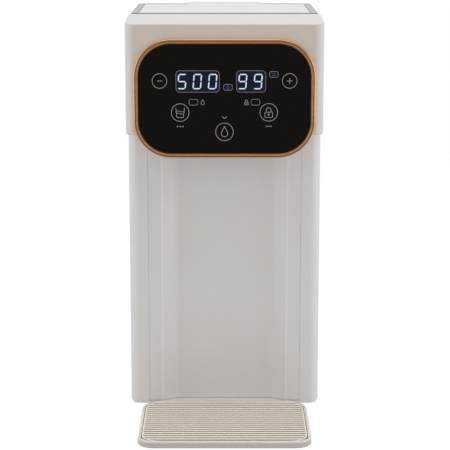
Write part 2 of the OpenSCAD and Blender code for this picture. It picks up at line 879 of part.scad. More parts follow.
module pump_body() {
    color([0.16, 0.16, 0.17]) difference() {
        union() {
            bar_z(pump_z, volute_z + over, 0, port_y, motor_d / 2);
            bar_z(volute_z, volute_top, 0, port_y, volute_d / 2);
            bar_z(volute_z, volute_top + spigot_l, 0, port_y, spigot_d / 2);
            bar_y(port_y - volute_d / 2 - spigot_l, port_y, 0, cross_z, spigot_d / 2);
        }
        bar_z(volute_z + volute_floor, volute_top - volute_floor, 0, port_y, volute_d / 2 - volute_wall);
        bar_z(cross_z, volute_top + spigot_l + over, 0, port_y, spigot_bore / 2);
        bar_y(port_y - volute_d / 2 - spigot_l - over, port_y, 0, cross_z, spigot_bore / 2);
        bar_z(volute_z - rotor_shaft_l, cross_z, 0, port_y, rotor_shaft_d / 2 + running);
    }
}

module pump_rotor() {
    rotor_z = volute_z + volute_floor + 2 * gap;
    vane_r = volute_d / 2 - volute_wall - rotor_gap;
    color([0.75, 0.77, 0.80]) {
        bar_z(volute_z - rotor_shaft_l + gap, rotor_z + over, 0, port_y, rotor_shaft_d / 2);
        bar_z(rotor_z, rotor_z + rotor_disc_t, 0, port_y, vane_r);
        bar_z(rotor_z, rotor_z + rotor_hub_h, 0, port_y, rotor_hub_r);
        translate([0, port_y, rotor_z]) for (i = [0:vane_count - 1]) rotate(i * 360 / vane_count)
            block([rotor_hub_r - over, -vane_t / 2, over], [vane_r - broken_r, vane_t / 2, vane_h]);
    }
}

module pump_mount() {
    color([0.13, 0.13, 0.13]) difference() {
        bar_z(z_bench, pump_z + mount_h, 0, port_y, motor_d / 2 + mount_wall);
        bar_z(pump_z, pump_z + mount_h + over, 0, port_y, motor_d / 2 + snug);
    }
}

module flow_meter_body() {
    color([0.92, 0.92, 0.90]) difference() {
        union() {
            difference() {
                union() {
                    bar_z(meter_z, meter_top, 0, port_y, meter_d / 2);
                    bar_z(meter_z - spigot_l, meter_top + spigot_l, 0, port_y, spigot_d / 2);
                }
                bar_z(meter_z + meter_wall, meter_top - meter_wall, 0, port_y, meter_d / 2 - meter_wall);
                bar_z(meter_z - spigot_l - over, meter_top + spigot_l + over, 0, port_y, spigot_bore / 2);
            }
            for (z = spider_zs) translate([0, port_y, z]) {
                block([meter_wall / 2 - meter_d / 2, -spider_w / 2, 0],
                      [meter_d / 2 - meter_wall / 2, spider_w / 2, spider_t]);
                cylinder(r = spider_hub_r, h = spider_t);
            }
        }
        for (z = spider_zs) bar_z(z - over / 2, z + spider_t + over / 2, 0, port_y, axle_d / 2 + running);
    }
}

module flow_turbine() {
    hub_z0 = spider_zs[0] + spider_t + gap;
    hub_z1 = spider_zs[1] - gap;
    blade_r = meter_d / 2 - meter_wall - blade_gap;
    color([0.20, 0.45, 0.75]) {
        bar_z(spider_zs[0] + broken_r, spider_zs[1] + spider_t - broken_r, 0, port_y, axle_d / 2);
        bar_z(hub_z0, hub_z1, 0, port_y, turbine_hub_r);
        translate([0, port_y, 0]) for (i = [0:blade_count - 1]) rotate(i * 360 / blade_count)
            block([axle_d / 2, -blade_t / 2, hub_z0 + over], [blade_r, blade_t / 2, hub_z1 - over]);
    }
}

// Electrics

module power_board() {
    color([0.12, 0.36, 0.20]) difference() {
        block([power_face, power_y0, power_z0], [power_x, power_y1, power_z1]);
        power_boss_places() bar_x(power_face - over, power_x + over, 0, 0, standoff_bore / 2);
    }
}

module power_components() {
    low_z = power_z0 + parts_inset;
    relay_y = power_y1 - parts_inset - relay[1];
    color([0.22, 0.22, 0.24]) {
        translate([power_face - transformer[0], power_y0 + parts_inset, low_z]) cube(transformer);
        translate([power_face - relay[0], relay_y, low_z]) cube(relay);
        for (i = [1, 2]) bar_x(power_face - capacitor_l, power_face, power_y0 + i * 1.5 * capacitor_d,
                               power_z1 - capacitor_drop, capacitor_d / 2);
    }
}

module cord_gland() {
    color([0.10, 0.10, 0.10]) difference() {
        union() {
            bar_y(back_y - wall - gland_flange, back_y - wall, gland_x, gland_z, gland_d / 2 + gland_flange);
            bar_y(back_y - wall - over, back_y, gland_x, gland_z, gland_d / 2);
        }
        bar_y(back_y - wall - gland_flange - over, back_y + over, gland_x, gland_z, cord_bore / 2);
    }
}

module reed_sensor() {
    color([0.20, 0.20, 0.22]) block([float_x - reed_w / 2, back_y0 - reed_t, float_z],
                                    [float_x + reed_w / 2, back_y0, float_z + reed_h]);
}

// Tank seat

module tank_platform() {
    socket_r = port_d / 2 + seat_wall;
    color([0.34, 0.34, 0.36]) union() {
        difference() {
            union() {
                intersection() {
                    shell_room(z_platform, z_seat, tank_rim_t + gap);
                    block([-body_w, tower_y + gap, z_base], [body_w, back_y, z_head]);
                }
                bar_z(socket_z, z_seat, 0, port_y, socket_r + socket_wall);
                bar_z(socket_z - spigot_l, z_seat - over, 0, port_y, spigot_d / 2);
            }
            bar_z(socket_in, z_seat + over, 0, port_y, port_d / 2 + seat_lap);
            bar_z(seal_z, z_seat + over, 0, port_y, socket_r);
            bar_z(socket_z - spigot_l - over, socket_in + over, 0, port_y, spigot_bore / 2);
        }
        bar_z(socket_in, probe_top, 0, port_y, probe_d / 2);
        translate([0, port_y, socket_in])
            block([-port_d / 2, -bridge_t / 2, -bridge_h], [port_d / 2, bridge_t / 2, bridge_h]);
    }
}

module seat_seal() {
    color([0.75, 0.30, 0.22]) difference() {
        bar_z(seal_z, seal_z + seal_h, 0, port_y, port_d / 2 + seat_wall - snug);
        bar_z(seal_z - over, seal_z + seal_h + over, 0, port_y, port_d / 2 + gap);
    }
}

// Fasteners

module housing_screws() {
    color([0.75, 0.75, 0.75]) rib_screw_places() {
        bar_y(back_y0 + back_t - head_depth, back_y0 + back_t, 0, 0, screw_head_d / 2);
        bar_y(back_y0 - rib_screw_l, back_y0 + back_t - head_depth / 2, 0, 0, screw_d / 2);
    }
}

module base_screws() {
    color([0.75, 0.75, 0.75]) base_screw_places() {
        bar_z(z_base, z_base + head_depth, 0, 0, screw_head_d / 2);
        bar_z(z_base + head_depth / 2, z_bench, 0, 0, screw_d / 2);
    }
}

// Tank and lid

module tank_body() {
    barrel_room = barrel_l / 2 + gap;
    pin_reach = barrel_l / 2 + pin_grip;
    color([0.42, 0.43, 0.45]) difference() {
        union() {
            plan(tank_z, z_deck) outline(tank_w, tank_y0, tank_y1, broken_r, tank_corner_r);
            bar_z(port_z, tank_z + over, 0, port_y, port_d / 2);
        }
        plan(tank_in, rim_z)
            outline(tank_w - 2 * tank_wall, tank_y0 + tank_wall, tank_y1 - tank_wall,
                    broken_r, tank_corner_r - tank_wall);
        plan(rim_z - over, lid_z + over) outline(mouth_w, mouth_y0, mouth_y1, lid_ledge, lid_ledge);
        plan(lid_z, z_deck + over) outline(recess_w, recess_y0, recess_y1, broken_r, lid_rear_r);
        bar_z(port_z - over, tank_in + over, 0, port_y, port_bore / 2);
        bar_x(-barrel_room, barrel_room, hinge_y, hinge_z, barrel_r + gap);
        block([-barrel_room, recess_y1 - over, hinge_z], [barrel_room, back_y, z_deck + over]);
        bar_x(-pin_reach, pin_reach, hinge_y, hinge_z, pin_d / 2 + snug / 2);
    }
}

module hinge_pin() {
    reach = barrel_l / 2 + pin_grip - gap;
    color([0.78, 0.79, 0.80]) bar_x(-reach, reach, hinge_y, hinge_z, pin_d / 2);
}

module tank_lid() {
    color([0.90, 0.89, 0.87]) difference() {
        union() {
            plan(lid_z, z_deck) outline(lid_w, lid_y0, lid_y1, lid_front_r, lid_rear_r);
            block([-barrel_l / 2, lid_y1 - over, lid_z], [barrel_l / 2, hinge_y, z_deck]);
            bar_x(-barrel_l / 2, barrel_l / 2, hinge_y, hinge_z, barrel_r);
        }
        bar_x(-barrel_l / 2 - over, barrel_l / 2 + over, hinge_y, hinge_z, pin_d / 2 + running);
    }
}

module lid_gasket() {
    w = mouth_w - 2 * gasket_slack;
    y0 = mouth_y0 + gasket_slack;
    y1 = mouth_y1 - 2 * gasket_slack;
    outer_r = lid_ledge - gasket_slack;
    inner_r = max(lid_ledge - gasket_t, broken_r);
    color([0.80, 0.80, 0.79]) plan(lid_z - gasket_h, lid_z) difference() {
        outline(w, y0, y1, outer_r, outer_r);
        outline(w - 2 * gasket_t, y0 + gasket_t, y1 - gasket_t, inner_r, inner_r);
    }
}

module float_post() {
    color([0.92, 0.92, 0.90]) {
        bar_z(tank_in, tank_in + post_h + post_head_t, float_x, float_y, post_d / 2);
        bar_z(tank_in + post_h, tank_in + post_h + post_head_t, float_x, float_y, post_d / 2 + post_lap);
        bar_z(tank_in, tank_in + float_stand, float_x, float_y, post_d / 2 + post_lap);
    }
}

module level_float() {
    color([0.95, 0.95, 0.93]) difference() {
        bar_z(float_z, float_z + float_h, float_x, float_y, float_d / 2);
        bar_z(float_z - over, float_z + float_h + over, float_x, float_y, post_d / 2 + running);
        bar_z(float_z + float_h - magnet_h, float_z + float_h + over, float_x, magnet_y, magnet_d / 2 + snug);
    }
}

module float_magnet() {
    color([0.35, 0.35, 0.37])
        bar_z(float_z + float_h - magnet_h, float_z + float_h, float_x, magnet_y, magnet_d / 2);
}

module valve_guide() {
    color([0.90, 0.90, 0.88]) difference() {
        union() {
            difference() {
                bar_z(guide_z, guide_z + guide_t, 0, port_y, port_bore / 2 - snug);
                bar_z(guide_z - over, guide_z + guide_t + over, 0, port_y, port_bore / 2 - guide_rim);
            }
            bar_z(guide_z, guide_z + guide_t, 0, port_y, stem_d / 2 + guide_hub);
            for (a = [0, 120, 240]) translate([0, port_y, guide_z]) rotate(a)
                block([0, -guide_arm / 2, 0], [port_bore / 2 - guide_rim / 2, guide_arm / 2, guide_t]);
        }
        bar_z(guide_z - over, guide_z + guide_t + over, 0, port_y, stem_d / 2 + running);
    }
}

module valve_stem() {
    head_z = disc_z + seal_t;
    color([0.90, 0.90, 0.88]) {
        bar_z(collar_z, head_z + stem_head_t, 0, port_y, stem_d / 2);
        bar_z(collar_z, collar_z + collar_t, 0, port_y, stem_d / 2 + collar_w);
        bar_z(head_z, head_z + stem_head_t, 0, port_y, stem_d / 2 + stem_head_w);
    }
}

module valve_seal() {
    color([0.75, 0.30, 0.22]) difference() {
        bar_z(disc_z, disc_z + seal_t, 0, port_y, port_bore / 2 + disc_lap);
        bar_z(disc_z - over, disc_z + seal_t + over, 0, port_y, stem_d / 2 + snug);
    }
}

// Ring of points round the spring's wire at a step along its helix
function spring_ring(i) =
    let (a = i * 360 / spring_steps, z = spring_z0 + spring_rise * i / (spring_turns * spring_steps))
    [for (j = [0:spring_sides - 1]) let (b = j * 360 / spring_sides, r = spring_r + spring_wire_r * cos(b))
        [r * cos(a), port_y + r * sin(a), z + spring_wire_r * sin(b)]];

module valve_spring() {
    n = spring_turns * spring_steps;
    m = spring_sides;
    points = [for (i = [0:n]) each spring_ring(i)];
    walls = [for (i = [0:n - 1], j = [0:m - 1]) let (k = (j + 1) % m)
        each [[i * m + j, i * m + k, (i + 1) * m + k], [i * m + j, (i + 1) * m + k, (i + 1) * m + j]]];
    caps = [for (j = [1:m - 2]) each [[0, j + 1, j], [n * m, n * m + j, n * m + j + 1]]];
    color([0.78, 0.79, 0.80]) polyhedron(points, concat(walls, caps));
}

module tank_filter() {
    filter_r = port_bore / 2 + filter_lap;
    filter_h = valve_lift + seal_t + filter_room;
    color([0.92, 0.92, 0.90]) difference() {
        bar_z(tank_in, tank_in + filter_h, 0, port_y, filter_r);
        bar_z(tank_in - over, tank_in + filter_h - filter_wall, 0, port_y, filter_r - filter_wall);
        translate([0, port_y, tank_in]) for (i = [0:filter_slots / 2 - 1]) rotate(i * 360 / filter_slots)
            block([-filter_r - over, -filter_slot_w / 2, 2 * filter_wall],
                  [filter_r + over, filter_slot_w / 2, filter_h - 2 * filter_wall]);
    }
}

// Drip tray

module tray_outline(t) {
    outline(tray_w - 2 * t, tray_y + t, tray_y1 - t, tray_front_r - t, tray_rear_r - t);
}

module drip_tray() {
    color([0.82, 0.80, 0.79]) {
        difference() {
            plan(tray_z, tray_top) tray_outline(0);
            plan(tray_z + tray_floor, tray_top + over) tray_outline(tray_wall + tray_ledge);
            plan(grate_z, tray_top + over) tray_outline(tray_wall);
        }
        block([-tongue_w / 2, tray_y1 - tray_wall - over, tray_z],
              [tongue_w / 2, tray_y1 + tongue_l, tray_z + tongue_t]);
    }
}

module grate_outline(t) {
    inset = tray_wall + gap + t;
    outline(tray_w - 2 * inset, tray_y + inset, tray_y1 - inset, grate_front_r - t, tray_rear_r - inset);
}

module drip_grate() {
    color([0.80, 0.78, 0.75]) union() {
        difference() {
            plan(grate_z, grate_z + grate_t) grate_outline(0);
            intersection() {
                plan(grate_z - over, grate_z + grate_t + over) grate_outline(grate_border);
                for (i = [0:slot_count - 1]) translate([-tray_w / 2, slot_y0 + i * slot_pitch, grate_z - over])
                    cube([tray_w, slot_w, grate_t + 2 * over]);
            }
        }
        for (s = [-1, 1]) translate([s * tray_w / 6, 0, 0])
            block([-grate_rib / 2, grate_rib_y0, grate_z - over],
                  [grate_rib / 2, grate_rib_y1, grate_z + over]);
    }
}

base_plate();
rubber_feet();
main_shell();
front_column();
head_shell();
tower_back();
nose_shell();
trim_ring();
touch_glass();
display_board();
volume_display();
temperature_display();
touch_pads();
board_screws();
nozzle();
steam_separator();
outlet_hose();
heater_body();
heater_end_caps();
heater_bracket();
thermal_cutouts();
temperature_sensor();
pump_body();
pump_rotor();
pump_mount();
pump_hose();
heater_hose();
flow_meter_body();
flow_turbine();
inlet_hose();
power_board();
power_components();
cord_gland();
tank_platform();
seat_seal();
reed_sensor();
housing_screws();
base_screws();
tank_body();
float_post();
valve_guide();
valve_spring();
tank_filter();
hinge_pin();
tank_lid();
lid_gasket();
valve_stem();
valve_seal();
level_float();
float_magnet();
drip_tray();
drip_grate();
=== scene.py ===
"""Looks of a countertop hot-water dispenser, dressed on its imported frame.

Each sub-assembly of the dispenser is a class. It holds the sizes that belong to the looks, takes its places
from the frame's nodes, and builds and dresses its own pieces. Sizes are in metres, and only what is printed
on the touch glass is drawn in millimetres.
"""

from __future__ import annotations

import json
import logging
import math
from dataclasses import dataclass, field
from enum import Enum
from typing import Any, Callable, Iterable, Sequence

import bmesh
import bpy
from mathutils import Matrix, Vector

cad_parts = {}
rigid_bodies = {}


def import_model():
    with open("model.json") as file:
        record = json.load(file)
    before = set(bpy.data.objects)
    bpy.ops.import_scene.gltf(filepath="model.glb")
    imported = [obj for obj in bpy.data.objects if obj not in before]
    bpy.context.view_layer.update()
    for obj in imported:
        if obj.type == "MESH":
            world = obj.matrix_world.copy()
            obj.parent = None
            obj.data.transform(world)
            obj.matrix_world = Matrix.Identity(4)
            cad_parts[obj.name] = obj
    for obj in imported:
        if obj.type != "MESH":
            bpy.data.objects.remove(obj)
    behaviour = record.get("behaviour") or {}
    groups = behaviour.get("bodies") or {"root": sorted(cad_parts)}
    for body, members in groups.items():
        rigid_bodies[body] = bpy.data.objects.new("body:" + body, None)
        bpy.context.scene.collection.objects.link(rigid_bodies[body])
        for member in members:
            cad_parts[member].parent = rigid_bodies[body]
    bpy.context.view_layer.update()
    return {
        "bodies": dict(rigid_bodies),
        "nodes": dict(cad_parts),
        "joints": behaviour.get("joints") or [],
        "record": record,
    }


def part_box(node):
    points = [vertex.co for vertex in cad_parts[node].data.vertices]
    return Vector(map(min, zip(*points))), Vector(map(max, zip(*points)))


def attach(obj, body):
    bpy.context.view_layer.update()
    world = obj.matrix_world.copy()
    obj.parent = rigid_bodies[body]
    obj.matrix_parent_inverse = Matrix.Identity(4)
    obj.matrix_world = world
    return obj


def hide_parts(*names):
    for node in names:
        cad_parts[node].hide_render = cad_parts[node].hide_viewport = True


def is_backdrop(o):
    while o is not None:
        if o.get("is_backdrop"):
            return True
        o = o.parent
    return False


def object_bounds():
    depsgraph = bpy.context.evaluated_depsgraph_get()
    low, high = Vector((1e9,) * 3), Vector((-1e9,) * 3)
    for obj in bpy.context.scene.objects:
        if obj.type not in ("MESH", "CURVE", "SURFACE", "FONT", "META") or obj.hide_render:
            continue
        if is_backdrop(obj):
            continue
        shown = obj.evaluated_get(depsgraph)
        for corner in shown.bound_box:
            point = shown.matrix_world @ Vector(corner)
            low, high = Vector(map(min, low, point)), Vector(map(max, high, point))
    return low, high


LOG = logging.getLogger("dispenser")
MM = 0.001
MERGE = 1e-6
NEAR = 0.06 * MM
CREASE_X = 59.1 * MM

Point2 = tuple[float, float]
Point3 = tuple[float, float, float]
Color = tuple[float, float, float]


class Body(str, Enum):
    """Moving bodies of the frame that pieces ride on."""

    HOUSING = "housing"
    TANK = "tank"
    LID = "lid"
    TRAY = "tray"
    GRATE = "grate"


class Slot(str, Enum):
    """Material slots of the record, one for each finish of the real object."""

    HOUSING = "housing_beige"
    COLUMN = "column_beige"
    LID = "lid_cream"
    TANK = "tank_smoke"
    COPPER = "trim_copper"
    GLASS = "touch_glass"
    LED = "led_display"
    CIRCUIT = "circuit_board"
    BASE = "base_grey"
    RUBBER = "black_rubber"
    SEAL = "red_seal"
    SILICONE = "clear_silicone"
    WHITE = "white_plastic"
    BLUE = "blue_plastic"
    BLACK = "black_plastic"
    HEATER = "heater_metal"
    STEEL = "bright_steel"
    BRASS = "sensor_brass"
    TRAY = "tray_grey"
    GRATE = "grate_beige"


class Layer(Enum):
    """Heights of the thin prints above the face of the touch glass, so that none share a plane."""

    WINDOW = 0.04 * MM
    LINE = 0.07 * MM
    LIGHT = 0.10 * MM


class Socket(Enum):
    """Types of the sockets of a node group."""

    COLOR = "NodeSocketColor"
    FLOAT = "NodeSocketFloat"
    GEOMETRY = "NodeSocketGeometry"
    INT = "NodeSocketInt"
    MATERIAL = "NodeSocketMaterial"
    VECTOR = "NodeSocketVector"


def srgb(red: int, green: int, blue: int) -> Color:
    """Turns a colour as seen on a screen into the linear one that shaders take.

    Args:
        red: Red from 0 to 255.
        green: Green from 0 to 255.
        blue: Blue from 0 to 255.

    Returns:
        The linear colour, each channel from 0 to 1.
    """

    def channel(value: int) -> float:
        """Linear value of one channel, by the curve that sRGB sets."""
        share = value / 255
        return share / 12.92 if share <= 0.04045 else ((share + 0.055) / 1.055) ** 2.4

    return channel(red), channel(green), channel(blue)


def opaque(color: Color) -> tuple[float, float, float, float]:
    """Gives a colour the full opacity that colour sockets ask for."""
    return *color, 1.0


class NodeTree:
    """Short hand for adding and joining the nodes of one shader or geometry tree."""

    NOISE_MEAN = 0.5

    def __init__(self, tree: bpy.types.NodeTree) -> None:
        """Keeps the tree that the nodes go into."""
        self.tree = tree

    def give(self, target: bpy.types.NodeSocket, value: Any) -> None:
        """Sets an input to a value, or links an output to it.

        Args:
            target: The input socket.
            value: A plain value or an output socket.
        """
        if isinstance(value, bpy.types.NodeSocket):
            self.tree.links.new(value, target)
        else:
            target.default_value = value

    def add(self, kind: str, values: dict[str | int, Any] | None = None, **settings: Any) -> bpy.types.Node:
        """Adds a node.

        Args:
            kind: Blender's name of the node's type.
            values: Value or output socket for each input, by the input's name or place.
            **settings: Attributes of the node itself.

        Returns:
            The new node.
        """
        made = self.tree.nodes.new(kind)
        for key, value in settings.items():
            setattr(made, key, value)
        for key, value in (values or {}).items():
            self.give(made.inputs[key], value)
        return made

    def math(self, operation: str, first: Any, second: Any = 0.0) -> bpy.types.NodeSocket:
        """Works out two values, each a number or an output socket."""
        return self.add("ShaderNodeMath", {0: first, 1: second}, operation=operation).outputs[0]

    def blend(self, factor: Any, first: Any, second: Any, way: str = "MIX") -> bpy.types.NodeSocket:
        """Blends two colours, each plain or an output socket."""
        values = {"Factor": factor, "A": first, "B": second}
        return self.add("ShaderNodeMix", values, data_type="RGBA", blend_type=way).outputs["Result"]

    def coordinate(self, kind: str, axis: str) -> bpy.types.NodeSocket:
        """Reads one axis of a texture coordinate."""
        place = self.add("ShaderNodeTexCoord").outputs[kind]
        return self.add("ShaderNodeSeparateXYZ", {"Vector": place}).outputs[axis]

    def noise(self, scale: Any, detail: float, stretch: Point3 = (1.0, 1.0, 1.0)) -> bpy.types.NodeSocket:
        """Adds a noise on object coordinates.

        Args:
            scale: Noise scale per metre, a number or an output socket.
            detail: Octaves of the noise.
            stretch: Scale of the coordinates along each axis.

        Returns:
            The noise value, about 0.5 on average.
        """
        place = self.add("ShaderNodeTexCoord").outputs["Object"]
        mapped = self.add("ShaderNodeMapping", {"Vector": place, "Scale": stretch}).outputs["Vector"]
        values = {"Vector": mapped, "Scale": scale, "Detail": detail}
        return self.add("ShaderNodeTexNoise", values).outputs["Fac"]

    def uneven(self, noise: bpy.types.NodeSocket, share: Any) -> bpy.types.NodeSocket:
        """Centres a noise on zero and scales it by a number or an output socket."""
        return self.math("MULTIPLY", self.math("SUBTRACT", noise, self.NOISE_MEAN), share)


class ShaderLibrary:
    """Shader node groups that several finishes share, each built once."""

    MOTTLE_SCALE = 32.0
    BUMP_DEPTH = 0.12 * MM
    GRAIN_UNEVEN = 0.18
    SMUDGE_SCALE = 55.0
    SMUDGE_POWER = 2.0
    STREAK_STRETCH: Point3 = (0.12, 1.0, 1.0)
    STREAK_UNEVEN = 0.2
    WALL_FACING = 0.2
    TOP_FACING = 0.8

    def __init__(self) -> None:
        """Builds the groups."""
        self.moulded = self._moulded_skin()
        # Painted shade, darker on upright walls than on tops
        self.worn = self._worn_walls()
        self.smudged = self._smudge_film()
        self.drawn = self._drawn_metal()
        self.lit = self._lamp_glow()

    @staticmethod
    def _group(name: str, inputs: dict[str, tuple[Socket, Any]],
               outputs: dict[str, Socket]) -> tuple[NodeTree, bpy.types.NodeOutputs]:
        """Starts a group.

        Args:
            name: Name of the group.
            inputs: Socket type and default value of each input, by name.
            outputs: Socket type of each output, by name.

        Returns:
            The tree and the sockets of its inputs.
        """
        tree = bpy.data.node_groups.new(name, "ShaderNodeTree")
        for key, (kind, value) in inputs.items():
            tree.interface.new_socket(key, in_out="INPUT", socket_type=kind.value).default_value = value
        for key, kind in outputs.items():
            tree.interface.new_socket(key, in_out="OUTPUT", socket_type=kind.value)
        nodes = NodeTree(tree)
        return nodes, nodes.add("NodeGroupInput").outputs

    def _moulded_skin(self) -> bpy.types.NodeTree:
        """Builds the skin of injection-moulded plastic: faint flow mottling and a fine spark-eroded grain.

        Returns:
            The group.
        """
        nodes, given = self._group(
            "moulded_skin",
            {
                "Color": (Socket.COLOR, (0.8, 0.8, 0.8, 1.0)),
                "Mottle": (Socket.FLOAT, 0.03),
                "Roughness": (Socket.FLOAT, 0.5),
                "Grain Scale": (Socket.FLOAT, 2400.0),
                "Grain Strength": (Socket.FLOAT, 0.2),
            },
            {"Color": Socket.COLOR, "Roughness": Socket.FLOAT, "Normal": Socket.VECTOR},
        )
        flow = nodes.uneven(nodes.noise(self.MOTTLE_SCALE, detail=4.0), given["Mottle"])
        shade = {"Value": nodes.math("ADD", flow, 1.0), "Color": given["Color"]}
        grain = nodes.noise(given["Grain Scale"], detail=3.0)
        relief = {"Distance": self.BUMP_DEPTH, "Height": grain, "Strength": given["Grain Strength"]}
        nodes.add("NodeGroupOutput", {
            "Color": nodes.add("ShaderNodeHueSaturation", shade).outputs["Color"],
            "Roughness": nodes.math("ADD", nodes.uneven(grain, self.GRAIN_UNEVEN), given["Roughness"]),
            "Normal": nodes.add("ShaderNodeBump", relief).outputs["Normal"],
        })
        return nodes.tree

    def _worn_walls(self) -> bpy.types.NodeTree:
        """Builds painted shade: a piece is made darker on its walls than on its tops, by how far each face
        turns from upwards.

        Returns:
            The group.
        """
        nodes, given = self._group("painted_wall_shade", {"Wall Shade": (Socket.FLOAT, 0.6)}, {"Shade": Socket.FLOAT})
        shade = nodes.add("ShaderNodeMapRange", {
            "Value": nodes.coordinate("Normal", "Z"),
            "From Min": self.WALL_FACING,
            "From Max": self.TOP_FACING,
            "To Min": given["Wall Shade"],
            "To Max": 1.0,
        })
        nodes.add("NodeGroupOutput", {"Shade": shade.outputs["Result"]})
        return nodes.tree

    def _smudge_film(self) -> bpy.types.NodeTree:
        """Builds the film of handling on glossy faces: soft patches that are a little rougher.

        Returns:
            The group.
        """
        nodes, given = self._group(
            "smudge_film",
            {"Roughness": (Socket.FLOAT, 0.1), "Amount": (Socket.FLOAT, 0.1)},
            {"Roughness": Socket.FLOAT},
        )
        patch = nodes.math("POWER", nodes.noise(self.SMUDGE_SCALE, detail=5.0), self.SMUDGE_POWER)
        extra = nodes.math("MULTIPLY", patch, given["Amount"])
        nodes.add("NodeGroupOutput", {"Roughness": nodes.math("ADD", extra, given["Roughness"])})
        return nodes.tree

    def _drawn_metal(self) -> bpy.types.NodeTree:
        """Builds the skin of drawn or brushed metal: long fine streaks in colour and in roughness.

        Returns:
            The group.
        """
        nodes, given = self._group(
            "drawn_metal",
            {
                "Light": (Socket.COLOR, (0.9, 0.9, 0.9, 1.0)),
                "Dark": (Socket.COLOR, (0.5, 0.5, 0.5, 1.0)),
                "Roughness": (Socket.FLOAT, 0.25),
                "Streak Scale": (Socket.FLOAT, 300.0),
            },
            {"Color": Socket.COLOR, "Roughness": Socket.FLOAT},
        )
        streak = nodes.noise(given["Streak Scale"], 4.0, self.STREAK_STRETCH)
        nodes.add("NodeGroupOutput", {
            "Color": nodes.blend(streak, given["Dark"], given["Light"]),
            "Roughness": nodes.math("ADD", nodes.uneven(streak, self.STREAK_UNEVEN), given["Roughness"]),
        })
        return nodes.tree

    def _lamp_glow(self) -> bpy.types.NodeTree:
        """Builds the glow of a print that a small lamp lights unevenly from behind.

        Returns:
            The group.
        """
        nodes, given = self._group(
            "lamp_glow",
            {
                "Bright": (Socket.COLOR, (1.0, 1.0, 1.0, 1.0)),
                "Dim": (Socket.COLOR, (0.5, 0.5, 0.5, 1.0)),
                "Patch Scale": (Socket.FLOAT, 90.0),
            },
            {"Color": Socket.COLOR},
        )
        patch = nodes.noise(given["Patch Scale"], detail=2.0)
        nodes.add("NodeGroupOutput", {"Color": nodes.blend(patch, given["Dim"], given["Bright"])})
        return nodes.tree


class Coat(NodeTree):
    """Node tree of one material, with the Principled shader that a finish fills in."""

    def __init__(self, tree: bpy.types.NodeTree, shaders: ShaderLibrary) -> None:
        """Finds the material's shader.

        Args:
            tree: Node tree of the material.
            shaders: Shared shader groups.
        """
        super().__init__(tree)
        self.skin = tree.nodes["Principled BSDF"].inputs
        self.shaders = shaders

    def set(self, values: dict[str, Any]) -> None:
        """Sets inputs of the Principled shader, each to a value or to an output socket."""
        for key, value in values.items():
            self.give(self.skin[key], value)

    def place(self, group: bpy.types.NodeTree, values: dict[str, Any]) -> bpy.types.NodeOutputs:
        """Places a shared group with its own values and gives its outputs."""
        return self.add("ShaderNodeGroup", values, node_tree=group).outputs


@dataclass(frozen=True)
class Finish:
    """What every finish has: a name and a Principled shader that it fills in."""

    name: str

    def material(self, shaders: ShaderLibrary) -> bpy.types.Material:
        """Makes the material of this finish.

        Args:
            shaders: Shared shader groups.

        Returns:
            The new material.
        """
        made = bpy.data.materials.new(self.name)
        made.use_nodes = True
        self.fill(Coat(made.node_tree, shaders))
        return made

    def fill(self, coat: Coat) -> None:
        """Sets the Principled shader and what feeds it.

        Args:
            coat: Node tree of the material.
        """
        raise NotImplementedError


@dataclass(frozen=True)
class MouldedPlastic(Finish):
    """Opaque injection-moulded plastic or rubber with a fine grain."""

    color: Color
    roughness: float = 0.48
    mottle: float = 0.05
    grain_scale: float = 2400.0
    grain_strength: float = 0.2
    specular: float = 0.42

    def fill(self, coat: Coat) -> None:
        """Sets the grain, the mottling and the gloss.

        Args:
            coat: Node tree of the material.
        """
        grain = coat.place(coat.shaders.moulded, {
            "Color": opaque(self.color),
            "Mottle": self.mottle,
            "Roughness": self.roughness,
            "Grain Scale": self.grain_scale,
            "Grain Strength": self.grain_strength,
        })
        coat.set({
            "Base Color": self.toned(coat, grain["Color"]),
            "Roughness": grain["Roughness"],
            "Normal": grain["Normal"],
            "Specular IOR Level": self.specular,
        })

    def toned(self, coat: Coat, plain: bpy.types.NodeSocket) -> bpy.types.NodeSocket:
        """Paints light or shade onto the plain colour on part of the piece, which most plastics leave as it
        is.

        Args:
            coat: Node tree of the material.
            plain: The plain colour.

        Returns:
            The toned colour.
        """
        return plain


@dataclass(frozen=True)
class PaintedShadeWallPlastic(MouldedPlastic):
    """Plastic of a tray or grate with painted shade, darker on its walls than on its tops."""

    wall_shade: float = 0.6

    def toned(self, coat: Coat, plain: bpy.types.NodeSocket) -> bpy.types.NodeSocket:
        """Paints shade on the walls."""
        shade = coat.place(coat.shaders.worn, {"Wall Shade": self.wall_shade})["Shade"]
        return coat.add("ShaderNodeHueSaturation", {"Value": shade, "Color": plain}).outputs["Color"]


@dataclass(frozen=True)
class PaintedCreaseHighlightPlastic(MouldedPlastic):
    """Plastic with a painted highlight: a lighter line along a crease on either side of the piece."""

    crease_w: float = 0.7 * MM
    painted_crease_highlight: float = 1.22

    def toned(self, coat: Coat, plain: bpy.types.NodeSocket) -> bpy.types.NodeSocket:
        """Paints a highlight: lightens the colour by how near each point is to the crease.

        Args:
            coat: Node tree of the material.
            plain: The plain colour.

        Returns:
            The toned colour.
        """
        side = coat.math("ABSOLUTE", coat.coordinate("Object", "X"))
        # Painted highlight, strongest on the crease line
        line = coat.add("ShaderNodeMapRange", {
            "Value": coat.math("ABSOLUTE", coat.math("SUBTRACT", side, CREASE_X)),
            "From Max": self.crease_w,
            "To Min": self.painted_crease_highlight,
            "To Max": 1.0,
        })
        shade = {"Value": line.outputs["Result"], "Color": plain}
        return coat.add("ShaderNodeHueSaturation", shade).outputs["Color"]


